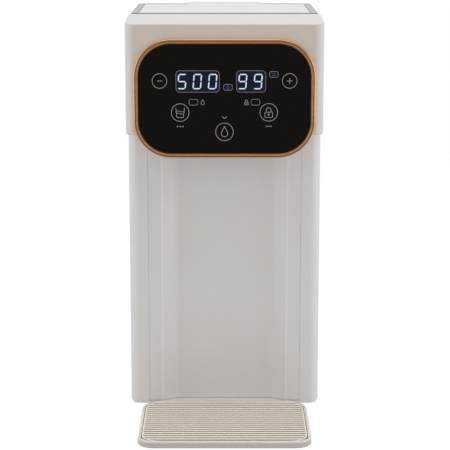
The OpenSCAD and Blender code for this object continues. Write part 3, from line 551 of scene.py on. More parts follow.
@dataclass(frozen=True)
class PaintedWarmLightPlastic(MouldedPlastic):
    """Moulded plastic with painted warm light where it faces the front."""

    painted_front_light: Color = (0.98, 0.925, 0.84)
    turned_from: float = 0.86

    def toned(self, coat: Coat, plain: bpy.types.NodeSocket) -> bpy.types.NodeSocket:
        """Paints warm light on the colour of the front.

        Args:
            coat: Node tree of the material.
            plain: The plain colour.

        Returns:
            The toned colour.
        """
        faced = coat.add("ShaderNodeMapRange", {
            "Value": coat.coordinate("Normal", "Y"),
            "From Min": -self.turned_from,
            "From Max": -1.0,
        })
        return coat.blend(faced.outputs["Result"], plain, opaque(self.painted_front_light), "MULTIPLY")


@dataclass(frozen=True)
class HandledGloss(Finish):
    """Glossy piece with a faint film of handling."""

    color: Color
    roughness: float = 0.1
    smudge: float = 0.12

    def fill(self, coat: Coat) -> None:
        """Sets the colour and the handling film."""
        film = coat.place(coat.shaders.smudged, {"Roughness": self.roughness, "Amount": self.smudge})
        coat.set({"Base Color": opaque(self.color), "Roughness": film["Roughness"]})


@dataclass(frozen=True)
class ClearPlastic(HandledGloss):
    """See-through moulded plastic or silicone, tinted through its thickness."""

    transmission: float = 0.9
    ior: float = 1.46

    def fill(self, coat: Coat) -> None:
        """Sets the gloss and the clarity."""
        super().fill(coat)
        coat.set({"Transmission Weight": self.transmission, "IOR": self.ior})


@dataclass(frozen=True)
class GlossBlack(HandledGloss):
    """Back-printed black glass under a clear polished face."""

    roughness: float = 0.06
    smudge: float = 0.1
    specular: float = 0.3

    def fill(self, coat: Coat) -> None:
        """Sets the print's black and the polish of the glass."""
        super().fill(coat)
        coat.set({"Specular IOR Level": self.specular})


@dataclass(frozen=True)
class DrawnMetal(Finish):
    """Drawn, brushed or turned metal."""

    light: Color
    dark: Color
    roughness: float = 0.24
    streaks: float = 320.0

    def fill(self, coat: Coat) -> None:
        """Sets the streaks and the metal.

        Args:
            coat: Node tree of the material.
        """
        streak = coat.place(coat.shaders.drawn, {
            "Light": opaque(self.light),
            "Dark": opaque(self.dark),
            "Roughness": self.roughness,
            "Streak Scale": self.streaks,
        })
        coat.set({"Base Color": streak["Color"], "Roughness": streak["Roughness"], "Metallic": 1.0})


@dataclass(frozen=True)
class LitPrint(Finish):
    """Print or lamp on the touch glass that glows by itself, unevenly as a small lamp behind it does."""

    color: Color
    dim: Color
    strength: float
    patch_scale: float = 90.0
    unlit: Color = (0.004, 0.004, 0.005)
    roughness: float = 0.08
    specular: float = 0.3

    def fill(self, coat: Coat) -> None:
        """Sets the glow and the dark print under it.

        Args:
            coat: Node tree of the material.
        """
        glow = coat.place(coat.shaders.lit, {
            "Bright": opaque(self.color),
            "Dim": opaque(self.dim),
            "Patch Scale": self.patch_scale,
        })
        coat.set({
            "Base Color": opaque(self.unlit),
            "Emission Color": glow["Color"],
            "Emission Strength": self.strength,
            "Roughness": self.roughness,
            "Specular IOR Level": self.specular,
        })


FINISHES: dict[Slot, Finish] = {
    Slot.HOUSING: MouldedPlastic("housing_plastic", srgb(220, 218, 218)),
    # The column panel gets a painted highlight along each crease
    Slot.COLUMN: PaintedCreaseHighlightPlastic("column_plastic", srgb(220, 218, 218), roughness=0.36),
    Slot.LID: MouldedPlastic("lid_plastic", srgb(216, 215, 214), roughness=0.36),
    Slot.TANK: ClearPlastic("smoke_tank", srgb(132, 134, 138), roughness=0.2, transmission=0.4),
    Slot.COPPER: DrawnMetal("copper_trim", srgb(222, 172, 122), srgb(190, 140, 94), roughness=0.2),
    Slot.GLASS: GlossBlack("black_touch_glass", srgb(14, 14, 13)),
    Slot.LED: LitPrint("display_glow", srgb(14, 27, 50), srgb(5, 11, 18), 1.0),
    Slot.CIRCUIT: MouldedPlastic("circuit_laminate", srgb(28, 92, 52), roughness=0.35, mottle=0.2),
    Slot.BASE: MouldedPlastic("base_plastic", srgb(92, 92, 94), roughness=0.55),
    Slot.RUBBER: MouldedPlastic("black_rubber", srgb(34, 34, 34), roughness=0.8, grain_strength=0.4),
    Slot.SEAL: MouldedPlastic("seal_rubber", srgb(196, 92, 70), roughness=0.6),
    Slot.SILICONE: ClearPlastic("milky_silicone", srgb(232, 230, 226), roughness=0.35, transmission=0.6),
    Slot.WHITE: MouldedPlastic("white_plastic", srgb(236, 236, 232), roughness=0.4),
    Slot.BLUE: MouldedPlastic("blue_plastic", srgb(70, 130, 200), roughness=0.4),
    Slot.BLACK: MouldedPlastic("black_plastic", srgb(42, 42, 44), roughness=0.45),
    Slot.HEATER: DrawnMetal("turned_aluminium", srgb(214, 214, 216), srgb(176, 176, 180), roughness=0.32),
    Slot.STEEL: DrawnMetal("bright_steel", srgb(222, 222, 224), srgb(180, 182, 186), streaks=700.0),
    Slot.BRASS: DrawnMetal("sensor_brass", srgb(226, 190, 120), srgb(190, 150, 84)),
    # The tray and the grate get painted shade on their walls
    Slot.TRAY: PaintedShadeWallPlastic("tray_plastic", srgb(220, 211, 209), roughness=0.42, wall_shade=0.76),
    Slot.GRATE: PaintedShadeWallPlastic("grate_plastic", srgb(246, 236, 226), roughness=0.5),
}
SEGMENT_LIGHT = LitPrint("segment_light", srgb(234, 241, 255), srgb(200, 215, 252), 1.0, patch_scale=160.0)
UNIT_LIGHT = LitPrint("unit_light", srgb(120, 128, 180), srgb(90, 98, 150), 1.0, patch_scale=160.0)
# The head gets painted warm light on its front faces
HEAD_PLASTIC = PaintedWarmLightPlastic("head_plastic", srgb(213, 209, 209))
LINE_PRINT = MouldedPlastic("line_print", srgb(186, 182, 174), roughness=0.5)


class FinishShop:
    """Makes each finish's material once and hands it out."""

    def __init__(self) -> None:
        """Builds the shared shader groups and every material."""
        shaders = ShaderLibrary()
        self.by_slot = {slot: finish.material(shaders) for slot, finish in FINISHES.items()}
        self.segments = SEGMENT_LIGHT.material(shaders)
        self.units = UNIT_LIGHT.material(shaders)
        self.lines = LINE_PRINT.material(shaders)
        self.head = HEAD_PLASTIC.material(shaders)

    def __getitem__(self, slot: Slot) -> bpy.types.Material:
        """Material of a slot."""
        return self.by_slot[slot]


@dataclass(frozen=True)
class RoundRect:
    """Rounded rectangle, even left and right of zero, whose lower and upper corners may differ."""

    width: float
    low: float
    high: float
    low_radius: float
    high_radius: float
    steps: int = 14

    def points(self, inset: float = 0.0) -> list[Point2]:
        """Gives the outline, counter-clockwise from the lower right corner.

        Args:
            inset: How far the outline is drawn in all round.

        Returns:
            The outline's points, as many for every inset.
        """
        half = self.width / 2
        low, high = self.low + self.low_radius, self.high - self.high_radius
        corners = (
            (half - self.low_radius, low, self.low_radius, -90),
            (half - self.high_radius, high, self.high_radius, 0),
            (self.high_radius - half, high, self.high_radius, 90),
            (self.low_radius - half, low, self.low_radius, 180),
        )
        found = []
        for u, v, radius, start in corners:
            for step in range(self.steps + 1):
                angle = math.radians(start + 90 * step / self.steps)
                reach = radius - inset
                found.append((u + reach * math.cos(angle), v + reach * math.sin(angle)))
        return found

    def level(self, rows: Iterable[Point2]) -> list[list[Point3]]:
        """Gives the outline lying flat, once for each pair of an inset and a height."""
        return [[(u, v, height) for u, v in self.points(inset)] for inset, height in rows]

    def upright(self, rows: Iterable[Point2]) -> list[list[Point3]]:
        """Gives the outline standing up, once for each pair of an inset and a depth."""
        return [[(u, depth, v) for u, v in self.points(inset)] for inset, depth in rows]


def edge_arc(radius: float, steps: int = 5) -> list[Point2]:
    """Gives the inset and the drop of points on a rounded edge, from the wall to the face.

    Args:
        radius: Radius of the edge.
        steps: Steps along the quarter turn.

    Returns:
        Pairs of the inset from the wall and the drop below the face.
    """
    turns = [math.radians(90 * step / steps) for step in range(steps + 1)]
    return [(radius * (1 - math.cos(turn)), radius * (1 - math.sin(turn))) for turn in turns]


class MeshKit:
    """Ways of making meshes that the sub-assemblies share."""

    SHARP = math.radians(32)
    FLAT = math.radians(0.1)
    ROUND = 0.5

    @staticmethod
    def new_object(name: str, shape: bmesh.types.BMesh) -> bpy.types.Object:
        """Turns a shape into an object in the scene.

        Args:
            name: Name of the object.
            shape: Its geometry, which is freed.

        Returns:
            The object, at the origin.
        """
        mesh = bpy.data.meshes.new(name)
        shape.to_mesh(mesh)
        shape.free()
        made = bpy.data.objects.new(name, mesh)
        bpy.context.scene.collection.objects.link(made)
        return made

    @staticmethod
    def add_loft(shape: bmesh.types.BMesh, loops: Sequence[Sequence[Point3]], wrap: bool = False,
                 ladder: bool = False) -> None:
        """Adds a skin over loops of as many points each, closed at both ends or joined end to end.

        Args:
            shape: Geometry that the skin is added to.
            loops: Loops of points, each closed.
            wrap: Joins the last loop to the first, with no end faces.
            ladder: Closes the last loop with strips from side to side, for an end that isn't flat.
        """
        rows = [[shape.verts.new(point) for point in loop] for loop in loops]
        count = len(rows[0])
        pairs = list(zip(rows, rows[1:]))
        if wrap:
            pairs.append((rows[-1], rows[0]))
        for near, far in pairs:
            for index in range(count):
                after = (index + 1) % count
                shape.faces.new((near[index], near[after], far[after], far[index]))
        if wrap:
            return
        shape.faces.new(rows[0][::-1])
        if not ladder:
            shape.faces.new(rows[-1])
            return
        end = rows[-1]
        for index in range(count // 2 - 1):
            shape.faces.new((end[index], end[index + 1], end[count - 2 - index], end[count - 1 - index]))

    @classmethod
    def loft(cls, name: str, loops: Sequence[Sequence[Point3]], wrap: bool = False,
             ladder: bool = False) -> bpy.types.Object:
        """Makes an object of one lofted skin, faces outwards.

        Args:
            name: Name of the object.
            loops: Loops of points, each closed.
            wrap: Joins the last loop to the first.
            ladder: Closes the last loop with strips from side to side.

        Returns:
            The object.
        """
        shape = bmesh.new()
        cls.add_loft(shape, loops, wrap, ladder)
        bmesh.ops.recalc_face_normals(shape, faces=shape.faces)
        return cls.new_object(name, shape)

    @staticmethod
    def box(name: str, low: Point3, high: Point3) -> bpy.types.Object:
        """Makes a block between two corners, used as a cutter.

        Args:
            name: Name of the object.
            low: Lowest corner.
            high: Highest corner.

        Returns:
            The block.
        """
        plan = ((low[0], low[1]), (high[0], low[1]), (high[0], high[1]), (low[0], high[1]))
        return MeshKit.loft(name, MeshKit.raised(plan, low[2], high[2]))

    @staticmethod
    def raised(plan: Sequence[Point2], low: float, high: float) -> list[list[Point3]]:
        """Gives a plan at two heights, for a loft between them."""
        return [[(x, y, z) for x, y in plan] for z in (low, high)]

    @staticmethod
    def settle(made: bpy.types.Object) -> None:
        """Turns an object's modifiers into plain mesh.

        Args:
            made: The object.
        """
        graph = bpy.context.evaluated_depsgraph_get()
        mesh = bpy.data.meshes.new_from_object(made.evaluated_get(graph))
        made.modifiers.clear()
        mesh.name = made.name
        made.data = mesh

    @classmethod
    def carve(cls, made: bpy.types.Object, cutters: Iterable[bpy.types.Object]) -> None:
        """Cuts other objects out of one and removes them.

        Args:
            made: Object that is cut.
            cutters: Closed objects to take away.
        """
        spent = list(cutters)
        for cutter in spent:
            cut = made.modifiers.new("cut", "BOOLEAN")
            cut.operation = "DIFFERENCE"
            cut.solver = "EXACT"
            cut.object = cutter
        cls.settle(made)
        for cutter in spent:
            bpy.data.objects.remove(cutter)

    @classmethod
    def polish(cls, made: bpy.types.Object, material: bpy.types.Material) -> None:
        """Gives a piece its material and its shading: smooth, with its real edges kept sharp.

        Args:
            made: The piece.
            material: Its material.
        """
        made.data.materials.clear()
        made.data.materials.append(material)
        made.data.polygons.foreach_set("use_smooth", [True] * len(made.data.polygons))
        made.data.set_sharp_from_angle(angle=cls.SHARP)
        weigh = made.modifiers.new("even_normals", "WEIGHTED_NORMAL")
        weigh.keep_sharp = True

    @classmethod
    def softened(cls, node: bpy.types.Object, name: str, rules: Sequence[Softening]) -> bpy.types.Object:
        """Copies a node of the frame and rounds some of its edges.

        Args:
            node: Node of the frame, which stays as it is.
            name: Name of the copy.
            rules: Which edges are rounded, and how far.

        Returns:
            The copy.
        """
        shape = bmesh.new()
        shape.from_mesh(node.data)
        bmesh.ops.remove_doubles(shape, verts=shape.verts, dist=MERGE)
        bmesh.ops.dissolve_limit(shape, angle_limit=cls.FLAT, verts=shape.verts, edges=shape.edges)
        for rule in rules:
            bmesh.ops.bevel(
                shape,
                geom=[edge for edge in shape.edges if rule.takes(edge)],
                offset=rule.width,
                offset_type="OFFSET",
                segments=rule.segments,
                profile=cls.ROUND,
                affect="EDGES",
                clamp_overlap=True,
            )
        return cls.new_object(name, shape)


@dataclass(frozen=True)
class Softening:
    """One rounding of a node's edges."""

    width: float
    place: Callable[[Vector], bool]
    segments: int = 3

    def takes(self, edge: bmesh.types.BMEdge) -> bool:
        """Says whether an edge is rounded: it is sharp, it stands out, and it lies in the right place.

        Args:
            edge: The edge.

        Returns:
            True if the edge is rounded.
        """
        if not edge.is_manifold or edge.calc_face_angle(0.0) < MeshKit.SHARP or not edge.is_convex:
            return False
        return self.place((edge.verts[0].co + edge.verts[1].co) / 2)


class Bench:
    """What every sub-assembly needs: the frame, the materials and the way to fit a finished piece."""

    def __init__(self, frame: dict[str, Any], shop: FinishShop) -> None:
        """Keeps the frame's nodes and the finish shop."""
        self.nodes: dict[str, bpy.types.Object] = frame["nodes"]
        self.shop = shop

    def fit(self, piece: bpy.types.Object, body: Body, slot: Slot, nodes: Sequence[str] = (),
            material: bpy.types.Material | None = None) -> None:
        """Dresses a finished piece and fits it to the frame.

        Args:
            piece: The piece, at its place.
            body: Body that it moves with.
            slot: Slot that it takes its finish from.
            nodes: Nodes of the frame that it stands for.
            material: Material, where it isn't the slot's own.
        """
        MeshKit.polish(piece, material or self.shop[slot])
        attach(piece, body.value)
        if nodes:
            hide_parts(*nodes)
        LOG.info("%s rides on %s, %d faces", piece.name, body.value, len(piece.data.polygons))


def filleted(corners: Sequence[Point2], radii: Sequence[float], steps: int = 6) -> list[Point2]:
    """Rounds the inner corners of an open line.

    Args:
        corners: Corners of the line, its two ends included.
        radii: Radius at each corner, zero for one that stays sharp.
        steps: Steps along each round corner.

    Returns:
        The points of the rounded line.
    """
    found = [corners[0]]
    for before, corner, after, radius in zip(corners, corners[1:], corners[2:], radii[1:]):
        if radius == 0:
            found.append(corner)
            continue
        here = Vector(corner)
        back, on = (Vector(before) - here).normalized(), (Vector(after) - here).normalized()
        half = back.angle(on) / 2
        start, end = here + back * radius / math.tan(half), here + on * radius / math.tan(half)
        centre = here + (back + on).normalized() * radius / math.sin(half)
        for step in range(steps + 1):
            spoke = (start - centre).normalized().slerp((end - centre).normalized(), step / steps)
            found.append(tuple(centre + spoke * radius))
    found.append(corners[-1])
    return found


@dataclass
class Housing:
    """Main shell, head cover and the folded panel of the column."""

    bench: Bench
    wall: float = 2.5 * MM
    # Rims and seams of the main shell
    rim_r: float = 0.5 * MM
    rim_rise: float = 8 * MM
    seam_r: float = 0.35 * MM
    seam_gap: float = 0.1 * MM
    seam_x: float = 72 * MM
    # Head cover, with the opening for the nose and how far a cutter reaches past what it cuts
    corner_r: float = 9 * MM
    crown_rise: float = 3.8 * MM
    head_low_r: float = 2.4 * MM
    head_top_r: float = 0.9 * MM
    nose_r: float = 32.8 * MM
    nose_gap: float = 0.3 * MM
    over: float = 1 * MM
    stations: int = 14
    # Column panel, whose middle is set back between two slanted facets
    panel_t: float = 2.3 * MM
    setback: float = 8 * MM
    facet_x: float = 46 * MM
    facet_r: float = 12 * MM
    facet_back: float = 1 * MM
    crease_r: float = 0.4 * MM
    crease_back: float = 2 * MM

    def build(self) -> None:
        """Builds every piece of the housing."""
        self.main_shell()
        self.head_cover()
        self.column_panel()

    def main_shell(self) -> None:
        """Rounds the main shell's rim, seams and tower edges."""
        low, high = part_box("main_shell")
        rim_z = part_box("tank_platform")[1].z + self.rim_rise
        tower_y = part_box("head_shell")[1].y

        def on_rim(at: Vector) -> bool:
            """True on the rim round the tank's foot."""
            return abs(at.z - rim_z) < NEAR and at.y > tower_y + NEAR

        def on_seam(at: Vector) -> bool:
            """True on the upright edges beside the column panel."""
            return abs(abs(at.x) - self.seam_x) < NEAR and abs(at.y - low.y) < NEAR

        def on_tower(at: Vector) -> bool:
            """True on the tower's rear upright edges."""
            return abs(abs(at.x) - high.x) < NEAR and abs(at.y - tower_y) < NEAR and at.z > rim_z + NEAR

        rules = (
            Softening(self.rim_r, on_rim),
            Softening(self.seam_r, on_seam),
            Softening(self.rim_r, on_tower),
        )
        piece = MeshKit.softened(self.bench.nodes["main_shell"], "main_shell_body", rules)
        self.bench.fit(piece, Body.HOUSING, Slot.HOUSING, ["main_shell"])

    def head_cover(self) -> None:
        """Builds the head as a crowned cover with a real wall and the opening for the nose."""
        low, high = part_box("head_shell")
        nose_low, nose_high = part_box("nose_shell")
        column_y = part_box("main_shell")[0].y
        arcs = edge_arc(self.head_low_r), edge_arc(self.head_top_r)
        cover = self._head_form("head_cover", 0.0, low, high, *arcs)
        room_high = Vector((high.x, high.y + self.over, high.z))
        sharp = [(0.0, 0.0)]
        room = self._head_form("head_room", self.wall, low, room_high, sharp, sharp)
        below = MeshKit.box(
            "head_below",
            (low.x + self.wall, column_y + self.wall, low.z - self.over),
            (high.x - self.wall, high.y + self.over, low.z + self.wall + self.over),
        )
        nose = RoundRect(
            nose_high.x - nose_low.x + 2 * self.nose_gap,
            nose_low.z - self.nose_gap,
            nose_high.z + self.nose_gap,
            self.nose_r + self.nose_gap,
            self.nose_r + self.nose_gap,
        )
        mouth = MeshKit.loft("head_mouth", nose.upright([(0.0, low.y - self.over), (0.0, column_y)]))
        MeshKit.carve(cover, (room, below, mouth))
        self.bench.fit(cover, Body.HOUSING, Slot.HOUSING, ["head_shell"], self.bench.shop.head)

    def _head_form(self, name: str, inset: float, low: Vector, high: Vector, low_arc: Sequence[Point2],
                   top_arc: Sequence[Point2]) -> bpy.types.Object:
        """Lofts the head's crowned form.

        Args:
            name: Name of the object.
            inset: How far the form is drawn in from the outside.
            low: Lowest corner of the head.
            high: Highest corner of the head.
            low_arc: Insets and drops of the lower edge, from the wall to the face.
            top_arc: Insets and drops of the upper edge, from the wall to the face.

        Returns:
            The closed form.
        """
        crown_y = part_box("head_shell")[1].y
        crown_r = ((crown_y - low.y) ** 2 + self.crown_rise**2) / (2 * self.crown_rise)
        half, front_y = high.x, low.y + self.corner_r
        run = front_y - high.y
        right = [(half, high.y + run * step / self.stations, 1.0, 0.0) for step in range(self.stations)]
        for step in range(self.stations + 1):
            turn = math.radians(90 * step / self.stations)
            across, along = math.cos(turn), -math.sin(turn)
            x, y = half - self.corner_r + self.corner_r * across, front_y + self.corner_r * along
            right.append((x, y, across, along))
        outline = right + [(-x, y, -across, along) for x, y, across, along in reversed(right)]

        def crown(y: float) -> float:
            """Height of the crowned top at a depth."""
            return high.z - inset - crown_r + math.sqrt(crown_r**2 - min(y - crown_y, 0.0) ** 2)

        def walls(draw: float) -> list[Point2]:
            """Plan of the walls, drawn in further."""
            return [(x - u * (inset + draw), y - v * (inset + draw)) for x, y, u, v in outline]

        loops = [[(x, y, low.z + inset + rise) for x, y in walls(draw)] for draw, rise in reversed(low_arc)]
        loops += [[(x, y, crown(y) - drop) for x, y in walls(draw)] for draw, drop in top_arc]
        return MeshKit.loft(name, loops, ladder=True)

    def column_panel(self) -> None:
        """Builds the folded column panel: crisp creases, soft inner folds and flanges behind the returns."""
        low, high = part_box("front_column")
        edge = self.seam_x - self.seam_gap
        flange_y = low.y + self.wall + self.seam_gap
        middle_y = low.y + self.setback
        right = [
            (self.facet_x, middle_y),
            (CREASE_X, low.y),
            (edge, low.y),
            (edge, flange_y),
            (high.x, flange_y),
        ]
        radii = [self.facet_r, self.crease_r, self.seam_r, 0.0, 0.0]
        corners = [(-x, y) for x, y in reversed(right)] + right
        front = filleted(corners, radii[::-1] + radii)
        rear_y = flange_y + self.panel_t
        rear = [
            (high.x, rear_y),
            (CREASE_X - self.crease_back, rear_y),
            (self.facet_x - self.facet_back, middle_y + self.panel_t),
        ]
        outline = front + rear + [(-x, y) for x, y in reversed(rear)]
        piece = MeshKit.loft("column_panel", MeshKit.raised(outline, low.z, high.z))
        self.bench.fit(piece, Body.HOUSING, Slot.COLUMN, ["front_column"])


def moved(line: Iterable[Point2], at: Point2) -> list[Point2]:
    """Moves a drawn line to a place."""
    return [(at[0] + u, at[1] + v) for u, v in line]


class PrintSheet:
    """Thin prints or lamps on the face of the touch glass, drawn in millimetres from the panel's centre.

    The sizes of a drop and of a padlock are shares of the sign's height.
    """

    SINK = 0.02 * MM
    ROUND_STEPS = 40
    CORNER_STEPS = 6
    MITRE_LIMIT = 2.0
    DROP_FOOT = 0.31
    DROP_WAIST = 0.8
    DROP_STEPS = 24
    LOCK_BOX: Point2 = (0.72, 0.5)
    LOCK_CORNER = 0.09
    LOCK_BOW = 0.22
    LOCK_SHOULDER = 0.2
    LOCK_HOLE = 0.07
    LOCK_HOLE_LIFT = 0.04
    LOCK_SLOT = 0.12
    BOW_STEPS = 12

    def __init__(self, name: str, centre: Vector, layer: Layer) -> None:
        """Starts an empty sheet.

        Args:
            name: Name of the piece that it becomes.
            centre: Centre of the glass's front face.
            layer: How far the print stands proud of the glass.
        """
        self.name = name
        self.centre = centre
        self.front = centre.y - layer.value
        self.back = centre.y + self.SINK
        self.shape = bmesh.new()

    def _at(self, point: Point2, y: float) -> Point3:
        """Place of a drawn point at a depth."""
        return self.centre.x + point[0] * MM, y, self.centre.z + point[1] * MM

    @staticmethod
    def _arc(at: Point2, radius: float, turns: Iterable[float]) -> list[Point2]:
        """Points of a circle at some turns."""
        return moved([(radius * math.cos(turn), radius * math.sin(turn)) for turn in turns], at)

    def _circle(self, at: Point2, radius: float) -> list[Point2]:
        """Points all round a circle."""
        turns = [2 * math.pi * step / self.ROUND_STEPS for step in range(self.ROUND_STEPS)]
        return self._arc(at, radius, turns)

    def fill(self, outline: Sequence[Point2]) -> None:
        """Adds a filled outline."""
        loops = [[self._at(point, y) for point in outline] for y in (self.front, self.back)]
        MeshKit.add_loft(self.shape, loops)

    def stroke(self, line: Sequence[Point2], width: float, closed: bool = False) -> None:
        """Adds a line of even width with mitred corners.

        Args:
            line: Points of the line.
            width: Width of the line.
            closed: Joins its end to its start.
        """
        count = len(line)
        loops = []
        for index, point in enumerate(line):
            here = Vector(point)
            before = Vector(line[index - 1] if closed or index else point)
            after = Vector(line[(index + 1) % count] if closed or index < count - 1 else point)
            into, out = here - before, after - here
            into = into.normalized() if into.length else out.normalized()
            out = out.normalized() if out.length else into
            across = Vector((-into.y - out.y, into.x + out.x)).normalized()
            reach = width / 2 / max(across.dot(Vector((-out.y, out.x))), 1 / self.MITRE_LIMIT)
            left, right = here + across * reach, here - across * reach
            section = ((left, self.front), (right, self.front), (right, self.back), (left, self.back))
            loops.append([self._at(corner, y) for corner, y in section])
        MeshKit.add_loft(self.shape, loops, wrap=closed)

    def ring(self, at: Point2, radius: float, width: float) -> None:
        """Adds a circle drawn as a line."""
        self.stroke(self._circle(at, radius), width, closed=True)

    def dot(self, at: Point2, radius: float) -> None:
        """Adds a filled circle."""
        self.fill(self._circle(at, radius))

    def frame(self, at: Point2, size: Point2, radius: float, width: float) -> None:
        """Adds a rounded frame drawn as a line."""
        self.stroke(self.round_box(at, size, radius), width, closed=True)

    @classmethod
    def round_box(cls, at: Point2, size: Point2, radius: float) -> list[Point2]:
        """Gives the outline of a rounded box about its centre."""
        box = RoundRect(size[0], -size[1] / 2, size[1] / 2, radius, radius, cls.CORNER_STEPS)
        return moved(box.points(), at)

    def drop(self, at: Point2, height: float, width: float) -> None:
        """Adds the outline of a water drop: a round foot drawn up into a point.

        Args:
            at: Centre of the drop.
            height: Height of the drop.
            width: Width of the line.
        """
        foot = height * self.DROP_FOOT
        low = at[1] - height / 2 + foot
        tip = (at[0], at[1] + height / 2)
        meet = math.asin(foot / (tip[1] - low)) * self.DROP_WAIST
        sweep = (math.pi + 2 * meet) / self.DROP_STEPS
        turns = [math.pi - meet + sweep * step for step in range(self.DROP_STEPS + 1)]
        self.stroke([tip, *self._arc((at[0], low), foot, turns)], width, closed=True)

    def padlock(self, at: Point2, height: float, width: float) -> None:
        """Adds a closed padlock.

        Args:
            at: Centre of the padlock.
            height: Height of the padlock.
            width: Width of the line.
        """
        box = (height * self.LOCK_BOX[0], height * self.LOCK_BOX[1])
        centre = (at[0], at[1] - height / 2 + box[1] / 2)
        top = centre[1] + box[1] / 2
        reach = height * self.LOCK_BOW
        turns = [math.pi * step / self.BOW_STEPS for step in range(self.BOW_STEPS + 1)]
        bow = self._arc((at[0], top + height * self.LOCK_SHOULDER), reach, turns)
        self.stroke([(at[0] + reach, top), *bow, (at[0] - reach, top)], width)
        self.frame(centre, box, height * self.LOCK_CORNER, width)
        self.dot((at[0], centre[1] + height * self.LOCK_HOLE_LIFT), height * self.LOCK_HOLE)
        self.stroke([centre, (at[0], centre[1] - height * self.LOCK_SLOT)], width)

    def build(self) -> bpy.types.Object:
        """Turns the sheet into a piece, faces outwards."""
        bmesh.ops.recalc_face_normals(self.shape, faces=self.shape.faces)
        return MeshKit.new_object(self.name, self.shape)


class Segment(Enum):
    """Bars of a seven-bar digit, as the ends of each in half widths and half heights."""

    TOP = ((-1, 1), (1, 1))
    UPPER_RIGHT = ((1, 1), (1, 0))
    LOWER_RIGHT = ((1, 0), (1, -1))
    BOTTOM = ((-1, -1), (1, -1))
    LOWER_LEFT = ((-1, 0), (-1, -1))
    UPPER_LEFT = ((-1, 1), (-1, 0))
    MIDDLE = ((-1, 0), (1, 0))


UNLIT_BARS: dict[str, set[Segment]] = {
    "0": {Segment.MIDDLE},
    "5": {Segment.UPPER_RIGHT, Segment.LOWER_LEFT},
    "9": {Segment.LOWER_LEFT},
}
LIT_BARS = {sign: [bar for bar in Segment if bar not in unlit] for sign, unlit in UNLIT_BARS.items()}


